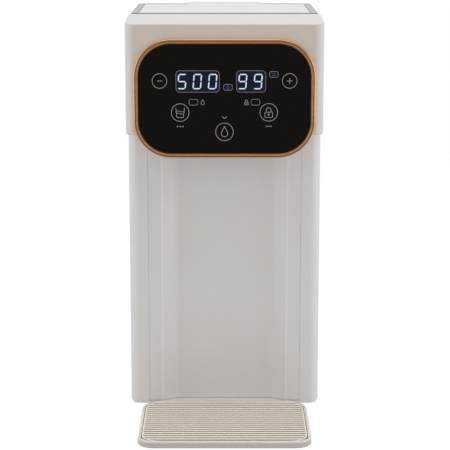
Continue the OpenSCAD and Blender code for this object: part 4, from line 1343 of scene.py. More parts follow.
@dataclass
class ControlPanel:
    """Copper ring, touch glass, number displays and the prints of the keys.

    What is printed or lit on the glass is sized and placed in millimetres from the centre of the glass.
    """

    bench: Bench
    centre: Vector = field(init=False)
    # Ring and glass, with the inset and the rise of the ring's section in millimetres
    corner_steps: int = 20
    ring_r: float = 34 * MM
    ring_profile: tuple[Point2, ...] = (
        (0.0, 0.0), (0.0, 1.4), (0.08, 1.9), (0.3, 2.3), (0.6, 2.55), (0.9, 2.64), (1.1, 2.66), (1.8, 2.66),
        (2.0, 2.68), (3.1, 2.93), (3.4, 2.99), (3.6, 3.0), (3.8, 2.9), (4.0, 2.5), (4.0, 0.0),
    )
    glass_r: float = 30 * MM
    glass_edge: float = 0.7 * MM
    # Widths of printed lines
    line: float = 0.36
    thin: float = 0.29
    faint: float = 0.22
    # Keys
    key_r: float = 8.0
    step_key_r: float = 6.6
    minus_at: Point2 = (-58.6, 16.3)
    plus_at: Point2 = (58.7, 16.4)
    volume_at: Point2 = (-40.1, -12.3)
    lock_at: Point2 = (40.0, -12.1)
    pour_at: Point2 = (0.0, -29.9)
    # Displays and their digits
    display_h: float = 19.3
    display_r: float = 3.2
    windows: tuple[tuple[str, Point2, float], ...] = (
        ("volume", (-24.2, 15.9), 39.1),
        ("temperature", (24.0, 15.9), 26.3),
    )
    digits: tuple[tuple[str, str, tuple[float, ...]], ...] = (
        ("volume", "500", (-38.3, -24.5, -10.7)),
        ("temperature", "99", (16.3, 30.2)),
    )
    digit_size: Point2 = (7.7, 13.9)
    digit_v: float = 15.8
    bar: float = 1.06
    bar_gap: float = 0.34
    slant: float = math.tan(math.radians(4.5))
    # Small frames of the units and the lamps, with their signs
    unit_frames: tuple[Point2, ...] = ((3.1, 10.6), (44.4, 22.2))
    lamp_frames: tuple[Point2, ...] = ((-28.0, -2.9), (28.0, -2.9))
    small_frame: Point2 = (7.9, 5.3)
    small_r: float = 1.8
    unit_drop_h: float = 3.4
    degree_r: float = 1.1
    lamp_sign_u: float = 8.2
    lamp_sign_h: float = 4.8
    # Signs of the keys, about the middle of each key
    minus_bar: tuple[Point2, ...] = ((-2.3, 0.0), (2.3, 0.0))
    plus_bars: tuple[tuple[Point2, ...], ...] = (((-2.5, 0.0), (2.5, 0.0)), ((0.0, -2.5), (0.0, 2.5)))
    sign_v: float = -12.7
    tumbler: tuple[Point2, ...] = ((-3.9, 4.3), (-3.0, -4.6), (3.0, -4.6), (3.9, 4.3))
    tumbler_r: float = 1.1
    waves: tuple[Point2, ...] = ((3.4, 1.1), (3.043, -1.0))
    wave_h: float = 0.5
    wave_steps: int = 16
    step_dots: tuple[float, ...] = (-2.4, 0.0, 2.4)
    step_dot_r: float = 0.5
    lock_h: float = 9.6
    lock_lift: float = 0.2
    lock_bar: float = 2.9
    pour_h: float = 9.4
    pour_lift: float = 0.3
    arrow: tuple[Point2, ...] = ((-2.2, 14.0), (0.0, 12.2), (2.2, 14.0))

    def build(self) -> None:
        """Builds the ring, the glass and everything on the glass."""
        low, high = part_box("touch_glass")
        self.centre = Vector(((low.x + high.x) / 2, low.y, (low.z + high.z) / 2))
        self.trim_ring()
        self.glass(low, high)
        self.displays()
        self.key_prints()

    def trim_ring(self) -> None:
        """Sweeps the ring's section, with a bright outer lip and a stepped inner edge, round the panel."""
        low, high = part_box("trim_ring")
        outline = RoundRect(high.x - low.x, low.z, high.z, self.ring_r, self.ring_r, self.corner_steps)
        rows = [(inset * MM, high.y - rise * MM) for inset, rise in self.ring_profile]
        piece = MeshKit.loft("copper_trim_ring", outline.upright(rows), wrap=True)
        self.bench.fit(piece, Body.HOUSING, Slot.COPPER, ["trim_ring"])

    def glass(self, low: Vector, high: Vector) -> None:
        """Builds the glass plate with a ground front edge.

        Args:
            low: Lowest corner of the glass.
            high: Highest corner of the glass.
        """
        outline = RoundRect(high.x - low.x, low.z, high.z, self.glass_r, self.glass_r, self.corner_steps)
        rows = [(0.0, high.y), *((inset, low.y + drop) for inset, drop in edge_arc(self.glass_edge))]
        piece = MeshKit.loft("touch_glass_plate", outline.upright(rows))
        self.bench.fit(piece, Body.HOUSING, Slot.GLASS, ["touch_glass"])

    def displays(self) -> None:
        """Builds the two glowing windows and their digits."""
        for name, at, width in self.windows:
            window = PrintSheet(f"{name}_window", self.centre, Layer.WINDOW)
            window.fill(window.round_box(at, (width, self.display_h), self.display_r))
            self.bench.fit(window.build(), Body.HOUSING, Slot.LED)
        units = PrintSheet("unit_windows", self.centre, Layer.WINDOW)
        signs = PrintSheet("unit_signs", self.centre, Layer.LIGHT)
        for at in self.unit_frames:
            units.fill(units.round_box(at, self.small_frame, self.small_r))
        drop_at, degree_at = self.unit_frames
        signs.drop(drop_at, self.unit_drop_h, self.faint)
        signs.ring(degree_at, self.degree_r, self.faint)
        self.bench.fit(units.build(), Body.HOUSING, Slot.LED)
        self.bench.fit(signs.build(), Body.HOUSING, Slot.LED, material=self.bench.shop.units)
        for name, text, places in self.digits:
            sheet = PrintSheet(f"{name}_digits", self.centre, Layer.LIGHT)
            for sign, u in zip(text, places):
                for segment in LIT_BARS[sign]:
                    sheet.fill(self._bar(segment, (u, self.digit_v)))
            self.bench.fit(sheet.build(), Body.HOUSING, Slot.LED, material=self.bench.shop.segments)

    def _bar(self, segment: Segment, at: Point2) -> list[Point2]:
        """Gives the outline of one bar of a digit, pointed at both ends and leaning with the digit.

        Args:
            segment: Which bar.
            at: Centre of the digit.

        Returns:
            The six points of the bar.
        """
        half = Vector(((self.digit_size[0] - self.bar) / 2, (self.digit_size[1] - self.bar) / 2))
        start, end = (Vector((u * half.x, v * half.y)) for u, v in segment.value)
        along = (end - start).normalized()
        across = Vector((-along.y, along.x)) * self.bar / 2
        start, end = start + along * self.bar_gap, end - along * self.bar_gap
        inner, outer = start + along * self.bar / 2, end - along * self.bar / 2
        points = [start, inner + across, outer + across, end, outer - across, inner - across]
        return moved([(point.x + self.slant * point.y, point.y) for point in points], at)

    def key_prints(self) -> None:
        """Prints the keys' rings and signs, the frames and the small lamps."""
        for name, draw in (
            ("minus_key_print", self._minus),
            ("plus_key_print", self._plus),
            ("volume_key_print", self._volume),
            ("lock_key_print", self._lock),
            ("pour_key_print", self._pour),
            ("frame_prints", self._frames),
        ):
            sheet = PrintSheet(name, self.centre, Layer.LINE)
            draw(sheet)
            self.bench.fit(sheet.build(), Body.HOUSING, Slot.LED, material=self.bench.shop.lines)

    def _minus(self, sheet: PrintSheet) -> None:
        """Draws the key that lowers a value."""
        sheet.ring(self.minus_at, self.step_key_r, self.line)
        sheet.stroke(moved(self.minus_bar, self.minus_at), self.line)

    def _plus(self, sheet: PrintSheet) -> None:
        """Draws the key that raises a value.

        Args:
            sheet: Sheet that it is drawn on.
        """
        sheet.ring(self.plus_at, self.step_key_r, self.line)
        for bar in self.plus_bars:
            sheet.stroke(moved(bar, self.plus_at), self.line)

    def _volume(self, sheet: PrintSheet) -> None:
        """Draws the volume key: a tumbler with two water lines, and three dots below for its steps.

        Args:
            sheet: Sheet that it is drawn on.
        """
        sheet.ring(self.volume_at, self.key_r, self.line)
        radii = [0, self.tumbler_r, self.tumbler_r, 0]
        sheet.stroke(moved(filleted(self.tumbler, radii), self.volume_at), self.line)
        steps = [step / self.wave_steps for step in range(self.wave_steps + 1)]
        for half, v in self.waves:
            wave = [(half * (2 * step - 1), v + self.wave_h * math.sin(2 * math.pi * step)) for step in steps]
            sheet.stroke(moved(wave, self.volume_at), self.thin)
        for at in moved([(u, self.sign_v) for u in self.step_dots], self.volume_at):
            sheet.dot(at, self.step_dot_r)

    def _lock(self, sheet: PrintSheet) -> None:
        """Draws the lock key, and a short bar below.

        Args:
            sheet: Sheet that it is drawn on.
        """
        u, v = self.lock_at
        sheet.ring(self.lock_at, self.key_r, self.line)
        sheet.padlock((u, v + self.lock_lift), self.lock_h, self.line)
        bar = ((-self.lock_bar, self.sign_v), (self.lock_bar, self.sign_v))
        sheet.stroke(moved(bar, self.lock_at), self.line)

    def _pour(self, sheet: PrintSheet) -> None:
        """Draws the pouring key, and a small arrow head above.

        Args:
            sheet: Sheet that it is drawn on.
        """
        u, v = self.pour_at
        sheet.ring(self.pour_at, self.key_r, self.line)
        sheet.drop((u, v + self.pour_lift), self.pour_h, self.line)
        sheet.stroke(moved(self.arrow, self.pour_at), self.line)

    def _frames(self, sheet: PrintSheet) -> None:
        """Draws the frames of the displays, the units and the two small lamps, with a sign at each lamp.

        Args:
            sheet: Sheet that they are drawn on.
        """
        for _, at, width in self.windows:
            sheet.frame(at, (width, self.display_h), self.display_r, self.faint)
        for at in (*self.unit_frames, *self.lamp_frames):
            sheet.frame(at, self.small_frame, self.small_r, self.faint)
        refill_at, hold_at = self.lamp_frames
        sheet.drop((refill_at[0] + self.lamp_sign_u, refill_at[1]), self.lamp_sign_h, self.thin)
        sheet.padlock((hold_at[0] - self.lamp_sign_u, hold_at[1]), self.lamp_sign_h, self.thin)


class GeometryTree(NodeTree):
    """Geometry node tree with named inputs, used on a piece and then settled into plain mesh."""

    def __init__(self, name: str, inputs: dict[str, Socket]) -> None:
        """Starts the tree, with inputs for the geometry and the material that every tree has.

        Args:
            name: Name of the tree.
            inputs: Socket type of each further input, by name.
        """
        super().__init__(bpy.data.node_groups.new(name, "GeometryNodeTree"))
        sides = self.tree.interface
        self.identifiers = {}
        for key, kind in ({"Geometry": Socket.GEOMETRY, "Material": Socket.MATERIAL} | inputs).items():
            made = sides.new_socket(key, in_out="INPUT", socket_type=kind.value)
            self.identifiers[key] = made.identifier
        sides.new_socket("Geometry", in_out="OUTPUT", socket_type=Socket.GEOMETRY.value)
        self.given = self.add("NodeGroupInput").outputs

    def vector(self, x: Any = 0.0, y: Any = 0.0, z: Any = 0.0) -> bpy.types.NodeSocket:
        """Joins three numbers or sockets into a vector."""
        return self.add("ShaderNodeCombineXYZ", {0: x, 1: y, 2: z}).outputs[0]

    def halved(self, value: bpy.types.NodeSocket) -> bpy.types.NodeSocket:
        """Halves a value."""
        return self.math("MULTIPLY", value, 0.5)

    def row(self, count: Any, start: Any, offset: Any) -> bpy.types.NodeSocket:
        """Lays points in a straight row."""
        values = {"Count": count, "Start Location": start, "Offset": offset}
        return self.add("GeometryNodeMeshLine", values, mode="OFFSET").outputs[0]

    def block(self, x: Any, y: Any, z: Any) -> bpy.types.NodeSocket:
        """Makes a block of a size, centred."""
        return self.add("GeometryNodeMeshCube", {"Size": self.vector(x, y, z)}).outputs["Mesh"]

    def copies(self, points: Any, shape: Any, **turns: Any) -> bpy.types.NodeSocket:
        """Sets a shape at each point, with its Scale or Rotation where one is given."""
        values = {"Points": points, "Instance": shape} | turns
        return self.add("GeometryNodeInstanceOnPoints", values).outputs[0]

    def merge(self, *parts: bpy.types.NodeSocket) -> bpy.types.NodeSocket:
        """Joins several geometries into one.

        Args:
            *parts: The geometries.

        Returns:
            The joined geometry.
        """
        made = self.add("GeometryNodeJoinGeometry")
        for part in parts:
            self.give(made.inputs[0], part)
        return made.outputs[0]

    def end(self, shape: bpy.types.NodeSocket) -> None:
        """Closes the tree: instances become real and take the material.

        Args:
            shape: The finished geometry.
        """
        real = self.add("GeometryNodeRealizeInstances", {"Geometry": shape}).outputs["Geometry"]
        values = {"Geometry": real, "Material": self.given["Material"]}
        dressed = self.add("GeometryNodeSetMaterial", values).outputs["Geometry"]
        self.add("NodeGroupOutput", {"Geometry": dressed})

    def grow(self, piece: bpy.types.Object, values: dict[str, Any]) -> None:
        """Runs the tree on a piece and settles the result.

        Args:
            piece: Object whose mesh the tree starts from.
            values: Values of the inputs, by name.
        """
        modifier = piece.modifiers.new(self.tree.name, "NODES")
        modifier.node_group = self.tree
        for key, value in values.items():
            modifier[self.identifiers[key]] = value
        MeshKit.settle(piece)


@dataclass
class DripTray:
    """Drip tray and its slatted grate."""

    SLAT_STEPS = 4

    bench: Bench
    # Tray, with the tongue's width, length and thickness
    front_r: float = 15 * MM
    rear_r: float = 24 * MM
    rim_w: float = 2.9 * MM
    rim_r: float = 1.9 * MM
    inner_r: float = 0.6 * MM
    edge_steps: int = 3
    foot_r: float = 0.8 * MM
    ledge: float = 2.5 * MM
    floor: float = 1.2 * MM
    tongue: Point3 = (80 * MM, 30 * MM, 2 * MM)
    # Border of the grate and its gap to the tray
    gap: float = 0.3 * MM
    grate_r: float = 17 * MM
    border: float = 1.5 * MM
    border_edge: float = 0.6 * MM
    # Slats and ribs, with how far each laps into what holds it
    slots: int = 20
    slot_w: float = 2.6 * MM
    slat_r: float = 0.7 * MM
    slat_lap: float = 0.8 * MM
    rib_w: float = 2 * MM
    rib_h: float = 1 * MM
    rib_lap: float = 0.5 * MM
    rib_bays: int = 3

    def build(self) -> None:
        """Builds the tray and the grate."""
        self.tray()
        self.grate()

    def tray(self) -> None:
        """Builds the tray: a basin with a round rim, the ledge under the grate and the tongue behind."""
        low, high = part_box("drip_tray")
        width, length, thick = self.tongue
        rear = high.y - length
        outline = RoundRect(high.x - low.x, low.y, rear, self.front_r, self.rear_r)
        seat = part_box("drip_grate")[0].z + self.rib_h
        rows = [(draw, low.z + rise) for draw, rise in reversed(edge_arc(self.foot_r))]
        rows += [(draw, high.z - drop) for draw, drop in edge_arc(self.rim_r)]
        inner = edge_arc(self.inner_r, self.edge_steps)
        rows += [(self.rim_w - draw, high.z - drop) for draw, drop in reversed(inner)]
        within = self.rim_w + self.ledge
        rows += [(self.rim_w, seat), (within, seat), (within, low.z + self.floor)]
        shape = bmesh.new()
        MeshKit.add_loft(shape, outline.level(rows))
        half, start = width / 2, rear - self.rim_w
        plan = ((-half, start), (half, start), (half, high.y), (-half, high.y))
        MeshKit.add_loft(shape, MeshKit.raised(plan, low.z, low.z + thick))
        bmesh.ops.recalc_face_normals(shape, faces=shape.faces)
        piece = MeshKit.new_object("drip_tray_basin", shape)
        self.bench.fit(piece, Body.TRAY, Slot.TRAY, ["drip_tray"])

    def grate(self) -> None:
        """Builds the grate: a border with round edges, slats between its sides and two ribs below."""
        low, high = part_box("drip_grate")
        tray_low, tray_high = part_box("drip_tray")
        foot = low.z + self.rib_h
        rear_r = self.rear_r - self.rim_w - self.gap
        outline = RoundRect(high.x - low.x, low.y, high.y, self.grate_r, rear_r)
        arc = edge_arc(self.border_edge, self.edge_steps)
        rows = [(0.0, foot), *((draw, high.z - drop) for draw, drop in arc)]
        rows += [(self.border - draw, high.z - drop) for draw, drop in reversed(arc)] + [(self.border, foot)]
        piece = MeshKit.loft("drip_grate_slats", outline.level(rows), wrap=True)
        first = low.y + self.border
        pitch = (high.y - low.y - 2 * self.border - self.slot_w) / (self.slots - 1)
        self._slat_tree().grow(piece, {
            "Count": self.slots - 1,
            "First": first + self.slot_w + (pitch - self.slot_w) / 2,
            "Pitch": pitch,
            "Half Length": (high.x - low.x) / 2 - self.border + self.slat_lap,
            "Front": first - self.slat_lap,
            "Front Radius": self.grate_r - self.border + self.slat_lap,
            "Rear": high.y - self.border + self.slat_lap,
            "Rear Radius": rear_r - self.border + self.slat_lap,
            "Slat Width": pitch - self.slot_w,
            "Slat Height": high.z - foot,
            "Slat Radius": self.slat_r,
            "Foot": foot,
            "Rib Width": self.rib_w,
            "Rib Length": high.y - low.y - 2 * self.ledge,
            "Rib Height": self.rib_h + self.rib_lap,
            "Rib Middle": foot + (self.rib_lap - self.rib_h) / 2,
            "Rib Spread": (tray_high.x - tray_low.x) / self.rib_bays,
            "Material": self.bench.shop[Slot.GRATE],
        })
        self.bench.fit(piece, Body.GRATE, Slot.GRATE, ["drip_grate"])

    @classmethod
    def _slat_tree(cls) -> GeometryTree:
        """Builds the tree that lays the slats, shortened where the border's corners are round, and the ribs.

        Returns:
            The tree, which adds its slats and ribs to the border.
        """
        sizes = (
            "First", "Pitch", "Half Length", "Front", "Front Radius", "Rear", "Rear Radius",
            "Slat Width", "Slat Height", "Slat Radius", "Foot",
            "Rib Width", "Rib Length", "Rib Height", "Rib Middle", "Rib Spread",
        )
        tree = GeometryTree("grate_slats", {"Count": Socket.INT} | dict.fromkeys(sizes, Socket.FLOAT))
        given = tree.given
        middle = tree.math("ADD", given["Foot"], tree.halved(given["Slat Height"]))
        first, step = tree.vector(0.0, given["First"], middle), tree.vector(0.0, given["Pitch"])
        row = tree.row(given["Count"], first, step)
        slats = tree.copies(row, cls._slat(tree), Scale=tree.vector(cls._slat_half(tree), 1.0, 1.0))

        half_way = tree.halved(tree.math("ADD", given["Rear"], given["Front"]))
        left = tree.math("MULTIPLY", tree.halved(given["Rib Spread"]), -1.0)
        pair = tree.row(2, tree.vector(left, half_way, given["Rib Middle"]), tree.vector(given["Rib Spread"]))
        ribs = tree.copies(pair, tree.block(given["Rib Width"], given["Rib Length"], given["Rib Height"]))
        tree.end(tree.merge(given["Geometry"], slats, ribs))
        return tree

    @staticmethod
    def _slat_half(tree: GeometryTree) -> bpy.types.NodeSocket:
        """Works out half the length of each slat, shorter at the round corners.

        Args:
            tree: Tree of the grate.

        Returns:
            Half the length at each point of the row.
        """
        given = tree.given
        spot = tree.add("GeometryNodeInputPosition").outputs[0]
        y = tree.add("ShaderNodeSeparateXYZ", {0: spot}).outputs["Y"]
        length = given["Half Length"]
        for end, sign in (("Front", 1.0), ("Rear", -1.0)):
            radius = given[f"{end} Radius"]
            past = tree.math("MULTIPLY", tree.math("SUBTRACT", y, given[end]), sign)
            into = tree.math("MAXIMUM", tree.math("SUBTRACT", radius, past), 0.0)
            squares = tree.math("POWER", radius, 2.0), tree.math("POWER", into, 2.0)
            chord = tree.math("SQRT", tree.math("MAXIMUM", tree.math("SUBTRACT", *squares), 0.0))
            length = tree.math("SUBTRACT", length, tree.math("SUBTRACT", radius, chord))
        return length

    @classmethod
    def _slat(cls, tree: GeometryTree) -> bpy.types.NodeSocket:
        """Makes one slat with round edges, one unit to either side of the middle.

        Args:
            tree: Tree of the grate.

        Returns:
            The slat.
        """
        given = tree.given
        sides = {"Width": given["Slat Height"], "Height": given["Slat Width"]}
        section = tree.add("GeometryNodeCurvePrimitiveQuadrilateral", sides).outputs[0]
        corner = {"Curve": section, "Radius": given["Slat Radius"], "Count": cls.SLAT_STEPS}
        soft = tree.add("GeometryNodeFilletCurve", corner, mode="POLY").outputs[0]
        ends = {"Start": (-1.0, 0.0, 0.0), "End": (1.0, 0.0, 0.0)}
        run = tree.add("GeometryNodeCurvePrimitiveLine", ends).outputs[0]
        sweep = {"Curve": run, "Profile Curve": soft, "Fill Caps": True}
        return tree.add("GeometryNodeCurveToMesh", sweep).outputs[0]


@dataclass
class WaterTank:
    """Lift-out tank with its smoke-grey wall, and the hinged lid."""

    bench: Bench
    rim_r: float = 0.5 * MM
    lid_r: float = 0.8 * MM
    lid_steps: int = 4

    def build(self) -> None:
        """Rounds the tank's top rim and the lid's edges."""
        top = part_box("tank_body")[1].z

        def on_top(at: Vector) -> bool:
            """True on edges of the top face."""
            return abs(at.z - top) < NEAR

        rim, edge = Softening(self.rim_r, on_top), Softening(self.lid_r, on_top, self.lid_steps)
        tank = MeshKit.softened(self.bench.nodes["tank_body"], "tank_wall", [rim])
        self.bench.fit(tank, Body.TANK, Slot.TANK, ["tank_body"])
        lid = MeshKit.softened(self.bench.nodes["tank_lid"], "tank_lid_cover", [edge])
        self.bench.fit(lid, Body.LID, Slot.LID, ["tank_lid"])


@dataclass
class Underside:
    """Rubber feet and the cross-recessed screws of the base and of the tower's back."""

    HEAD_SIDES = 24
    SHANK_SIDES = 20

    bench: Bench
    foot_r: float = 1.2 * MM
    foot_steps: int = 4
    # Screws
    head_h: float = 1.5 * MM
    shank_r: float = 1.5 * MM
    recess_w: float = 0.9 * MM
    recess_l: float = 3.4 * MM
    recess_depth: float = 0.9 * MM

    def build(self) -> None:
        """Builds the feet and both groups of screws."""
        sole = Softening(self.foot_r, lambda at: at.z < NEAR, self.foot_steps)
        feet = MeshKit.softened(self.bench.nodes["rubber_feet"], "rubber_foot_pads", [sole])
        self.bench.fit(feet, Body.HOUSING, Slot.RUBBER, ["rubber_feet"])
        tree = self._screw_tree()
        self._screws(tree, "base_screws", Vector((0, 0, -1)), (0.0, 0.0, 0.0))
        self._screws(tree, "housing_screws", Vector((0, 1, 0)), (math.radians(90), 0.0, 0.0))

    def _screws(self, tree: GeometryTree, node: str, face: Vector, turn: Point3) -> None:
        """Builds a group of screws where the frame has them.

        Args:
            tree: Tree that makes a screw at each point.
            node: Node of the frame that the screws stand for.
            face: Direction that the heads face.
            turn: Turn of a screw that faces down to that direction.
        """
        boxes = self._islands(self.bench.nodes[node])
        shape = bmesh.new()
        for low, high in boxes:
            half = (high - low) / 2
            shape.verts.new((low + high) / 2 + face * abs(half.dot(face)))
        piece = MeshKit.new_object(f"{node}_crossed", shape)
        size = boxes[0][1] - boxes[0][0]
        length = abs(size.dot(face))
        width = max(value for value in size if abs(value - length) > MERGE)
        tree.grow(piece, {
            "Head Radius": width / 2,
            "Head Height": self.head_h,
            "Shank Radius": self.shank_r,
            "Length": length,
            "Recess Width": self.recess_w,
            "Recess Length": self.recess_l,
            "Recess Depth": self.recess_depth,
            "Turn": turn,
            "Material": self.bench.shop[Slot.STEEL],
        })
        self.bench.fit(piece, Body.HOUSING, Slot.STEEL, [node])

    @staticmethod
    def _islands(node: bpy.types.Object) -> list[tuple[Vector, Vector]]:
        """Gives the box of each separate solid of a node.

        Args:
            node: Node of the frame.

        Returns:
            Lowest and highest corner of each solid, in order of place.
        """
        shape = bmesh.new()
        shape.from_mesh(node.data)
        bmesh.ops.remove_doubles(shape, verts=shape.verts, dist=MERGE)
        left = set(shape.verts)
        boxes = []
        while left:
            reached = {left.pop()}
            front = list(reached)
            while front:
                near = {edge.other_vert(vert) for vert in front for edge in vert.link_edges}
                front = [vert for vert in near if vert not in reached]
                reached.update(front)
            left -= reached
            spans = [[vert.co[axis] for vert in reached] for axis in range(3)]
            boxes.append((Vector(map(min, spans)), Vector(map(max, spans))))
        shape.free()
        return sorted(boxes, key=lambda box: tuple(box[0]))

    @classmethod
    def _screw_tree(cls) -> GeometryTree:
        """Builds the tree that sets a cross-recessed screw, face down, at each point.

        Returns:
            The tree.
        """
        sizes = (
            "Head Radius", "Head Height", "Shank Radius", "Length",
            "Recess Width", "Recess Length", "Recess Depth",
        )
        tree = GeometryTree("crossed_screws", {"Turn": Socket.VECTOR} | dict.fromkeys(sizes, Socket.FLOAT))
        given = tree.given

        def round_bar(radius: Any, length: Any, foot: Any, sides: int) -> bpy.types.NodeSocket:
            """Makes an upright round bar that starts at a height.

            Args:
                radius: Radius of the bar.
                length: Length of the bar.
                foot: Height of its lower end.
                sides: Sides of its round.

            Returns:
                The bar.
            """
            size = {"Vertices": sides, "Radius": radius, "Depth": length}
            bar = tree.add("GeometryNodeMeshCylinder", size).outputs["Mesh"]
            lift = tree.vector(0.0, 0.0, tree.math("ADD", foot, tree.halved(length)))
            return tree.add("GeometryNodeTransform", {"Geometry": bar, "Translation": lift}).outputs[0]

        head = round_bar(given["Head Radius"], given["Head Height"], 0.0, cls.HEAD_SIDES)
        cut = tree.add("GeometryNodeMeshBoolean", {"Mesh 1": head}, operation="DIFFERENCE", solver="EXACT")
        deep = tree.math("MULTIPLY", given["Recess Depth"], 2.0)
        for across, along in (("Recess Width", "Recess Length"), ("Recess Length", "Recess Width")):
            tree.give(cut.inputs["Mesh 2"], tree.block(given[across], given[along], deep))
        rest = tree.math("SUBTRACT", given["Length"], given["Head Height"])
        shank = round_bar(given["Shank Radius"], rest, given["Head Height"], cls.SHANK_SIDES)
        screw = tree.merge(cut.outputs["Mesh"], shank)
        turn = tree.add("FunctionNodeEulerToRotation", {0: given["Turn"]}).outputs[0]
        tree.end(tree.copies(given["Geometry"], screw, Rotation=turn))
        return tree


WHITE: Color = (1.0, 1.0, 1.0)
COOL: Color = (0.88, 0.955, 1.0)
WARM: Color = (1.0, 0.94, 0.87)


@dataclass(frozen=True)
class Lamp:
    """One soft box light, aimed at a point."""

    name: str
    place: Point3
    aim: Point3
    size: Point2
    power: float
    tint: Color

    def hang(self) -> None:
        """Adds the light to the scene."""
        light = bpy.data.lights.new(self.name, "AREA")
        light.shape = "RECTANGLE"
        light.size, light.size_y = self.size
        light.energy = self.power
        light.color = self.tint
        made = bpy.data.objects.new(self.name, light)
        bpy.context.scene.collection.objects.link(made)
        made.location = self.place
        made.rotation_euler = (Vector(self.aim) - Vector(self.place)).to_track_quat("-Z", "Y").to_euler()


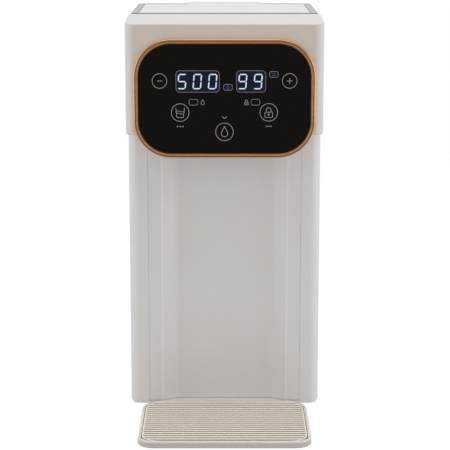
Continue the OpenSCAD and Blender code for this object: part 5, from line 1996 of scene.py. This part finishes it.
@dataclass
class Studio:
    """Plain pale floor, soft lights, white surroundings and the camera."""

    # Camera
    lens: float = 127.2
    sensor: float = 36.0
    camera_at: Point3 = (0.00045, -1.4985, 0.48)
    pitch: float = math.radians(11.6)
    # Surroundings: a fill that is brightest towards one side, and a dark front for mirrored rays
    fill_at: Point3 = (0.0, -0.8, 0.6)
    fill_front: float = 0.66
    fill_back: float = 0.2
    fill_tint: Color = (1.0, 0.955, 0.91)
    dark_drop: float = math.radians(5.5)
    dark_front: float = 0.16
    dark_from: float = 0.97
    dark_to: float = 0.8
    # Floor and lights
    floor_size: float = 3.0
    floor_front: float = 0.42
    floor_color: Color = (0.8, 0.8, 0.8)
    floor_rough: float = 0.9
    floor_glow: float = 0.9
    floor_white: float = 1.06
    lamps: tuple[Lamp, ...] = (
        Lamp("overhead_softbox", (0.0, -0.1, 1.5), (0.0, 0.0, 0.3), (1.4, 1.2), 8.8, COOL),
        Lamp("left_side_strip", (-1.4, -0.1, 0.45), (0.0, 0.0, 0.2), (0.8, 1.4), 5.7, COOL),
        Lamp("right_side_strip", (1.4, -0.1, 0.45), (0.0, 0.0, 0.2), (0.8, 1.4), 7.2, COOL),
        Lamp("left_front_softbox", (-1.35, -1.05, 0.25), (0.0, 0.0, 0.1), (0.45, 1.2), 1.9, WARM),
        Lamp("right_front_softbox", (1.35, -1.05, 0.25), (0.0, 0.0, 0.1), (0.45, 1.2), 2.2, WARM),
    )

    def build(self) -> None:
        """Sets the view, the surroundings, the floor, the lights and the camera."""
        bpy.context.scene.view_settings.view_transform = "Standard"
        self._surroundings()
        self._floor()
        for lamp in self.lamps:
            lamp.hang()
        self._camera()

    @staticmethod
    def _seen(nodes: NodeTree) -> bpy.types.NodeSocket:
        """Adds a mask that is 1 for rays from the camera, and from it through clear pieces."""
        path = nodes.add("ShaderNodeLightPath")
        return nodes.math("MAXIMUM", path.outputs["Is Camera Ray"], path.outputs["Is Transmission Ray"])

    def _surroundings(self) -> None:
        """Sets a world that is white where it is seen, dark in front where it is mirrored, or else a fill."""
        world = bpy.data.worlds.new("white_surroundings")
        bpy.context.scene.world = world
        world.use_nodes = True
        nodes = NodeTree(world.node_tree)
        back = world.node_tree.nodes["Background"]
        tint = nodes.blend(self._seen(nodes), opaque(self.fill_tint), opaque(WHITE))
        nodes.give(back.inputs["Color"], tint)
        place = nodes.add("ShaderNodeTexCoord").outputs["Generated"]

        def turned(axis: Point3) -> bpy.types.NodeSocket:
            """Reads how far each direction turns towards an axis, from -1 to 1."""
            dot = nodes.add("ShaderNodeVectorMath", {0: place, 1: axis}, operation="DOT_PRODUCT")
            return dot.outputs["Value"]

        ranges = {
            "Value": turned((0.0, -math.cos(self.dark_drop), -math.sin(self.dark_drop))),
            "From Min": self.dark_to,
            "From Max": self.dark_from,
            "To Min": 1.0,
            "To Max": self.dark_front,
        }
        front = nodes.add("ShaderNodeMapRange", ranges, interpolation_type="SMOOTHSTEP")
        fill = nodes.add("ShaderNodeMapRange", {
            "Value": turned(self.fill_at),
            "From Min": -1.0,
            "From Max": 1.0,
            "To Min": self.fill_back,
            "To Max": self.fill_front,
        })
        mirrored = nodes.add("ShaderNodeMix", {
            "Factor": nodes.add("ShaderNodeLightPath").outputs["Is Glossy Ray"],
            "A": fill.outputs["Result"],
            "B": front.outputs["Result"],
        })
        values = {"Factor": self._seen(nodes), "A": mirrored.outputs["Result"], "B": 1.0}
        nodes.give(back.inputs["Strength"], nodes.add("ShaderNodeMix", values).outputs["Result"])

    def _floor(self) -> None:
        """Lays the floor, white to the eye and still holding a soft shadow."""
        half = self.floor_size / 2
        shape = bmesh.new()
        plan = ((-half, -self.floor_front), (half, -self.floor_front), (half, half), (-half, half))
        shape.faces.new([shape.verts.new((x, y, 0.0)) for x, y in plan])
        floor = MeshKit.new_object("studio_floor", shape)
        material = bpy.data.materials.new("studio_floor")
        material.use_nodes = True
        nodes = NodeTree(material.node_tree)
        skin = material.node_tree.nodes["Principled BSDF"]
        skin.inputs["Base Color"].default_value = opaque(self.floor_color)
        skin.inputs["Roughness"].default_value = self.floor_rough
        skin.inputs["Specular IOR Level"].default_value = 0.0
        glow = nodes.add("ShaderNodeEmission", {"Color": opaque(WHITE), "Strength": self.floor_white})
        mix = nodes.add("ShaderNodeMixShader", {
            "Fac": nodes.math("MULTIPLY", self._seen(nodes), self.floor_glow),
            1: skin.outputs["BSDF"],
            2: glow.outputs["Emission"],
        })
        nodes.give(material.node_tree.nodes["Material Output"].inputs["Surface"], mix.outputs[0])
        floor.data.materials.append(material)
        floor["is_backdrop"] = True

    def _camera(self) -> None:
        """Places the camera at the photograph's viewpoint."""
        data = bpy.data.cameras.new("camera")
        data.lens = self.lens
        data.sensor_width = self.sensor
        made = bpy.data.objects.new("camera", data)
        bpy.context.scene.collection.objects.link(made)
        made.location = self.camera_at
        made.rotation_euler = (math.radians(90) - self.pitch, 0.0, 0.0)
        bpy.context.scene.camera = made


def dress_frame(frame: dict[str, Any], shop: FinishShop) -> None:
    """Gives every node of the frame the finish of its slot, the nodes that stay shown among them.

    Args:
        frame: The loaded frame.
        shop: Finishes.
    """
    for name, node in frame["nodes"].items():
        slot = Slot(node.data.materials[0].name.split(".")[0])
        node.data.materials[0] = shop[slot]
        LOG.info("%s is finished in %s", name, slot.value)


def corners() -> list[list[float]]:
    """Gives the lowest and the highest corner of what is shown."""
    return [list(corner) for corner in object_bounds()]


def main() -> None:
    """Loads the frame, dresses it and builds each sub-assembly in turn."""
    logging.basicConfig(level=logging.INFO, format="%(message)s")
    for left_over in list(bpy.data.objects):
        bpy.data.objects.remove(left_over)
    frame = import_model()
    shop = FinishShop()
    dress_frame(frame, shop)
    Studio().build()
    bench = Bench(frame, shop)
    for assembly in (Housing, ControlPanel, WaterTank, DripTray, Underside):
        assembly(bench).build()


if __name__ == "__main__":
    main()
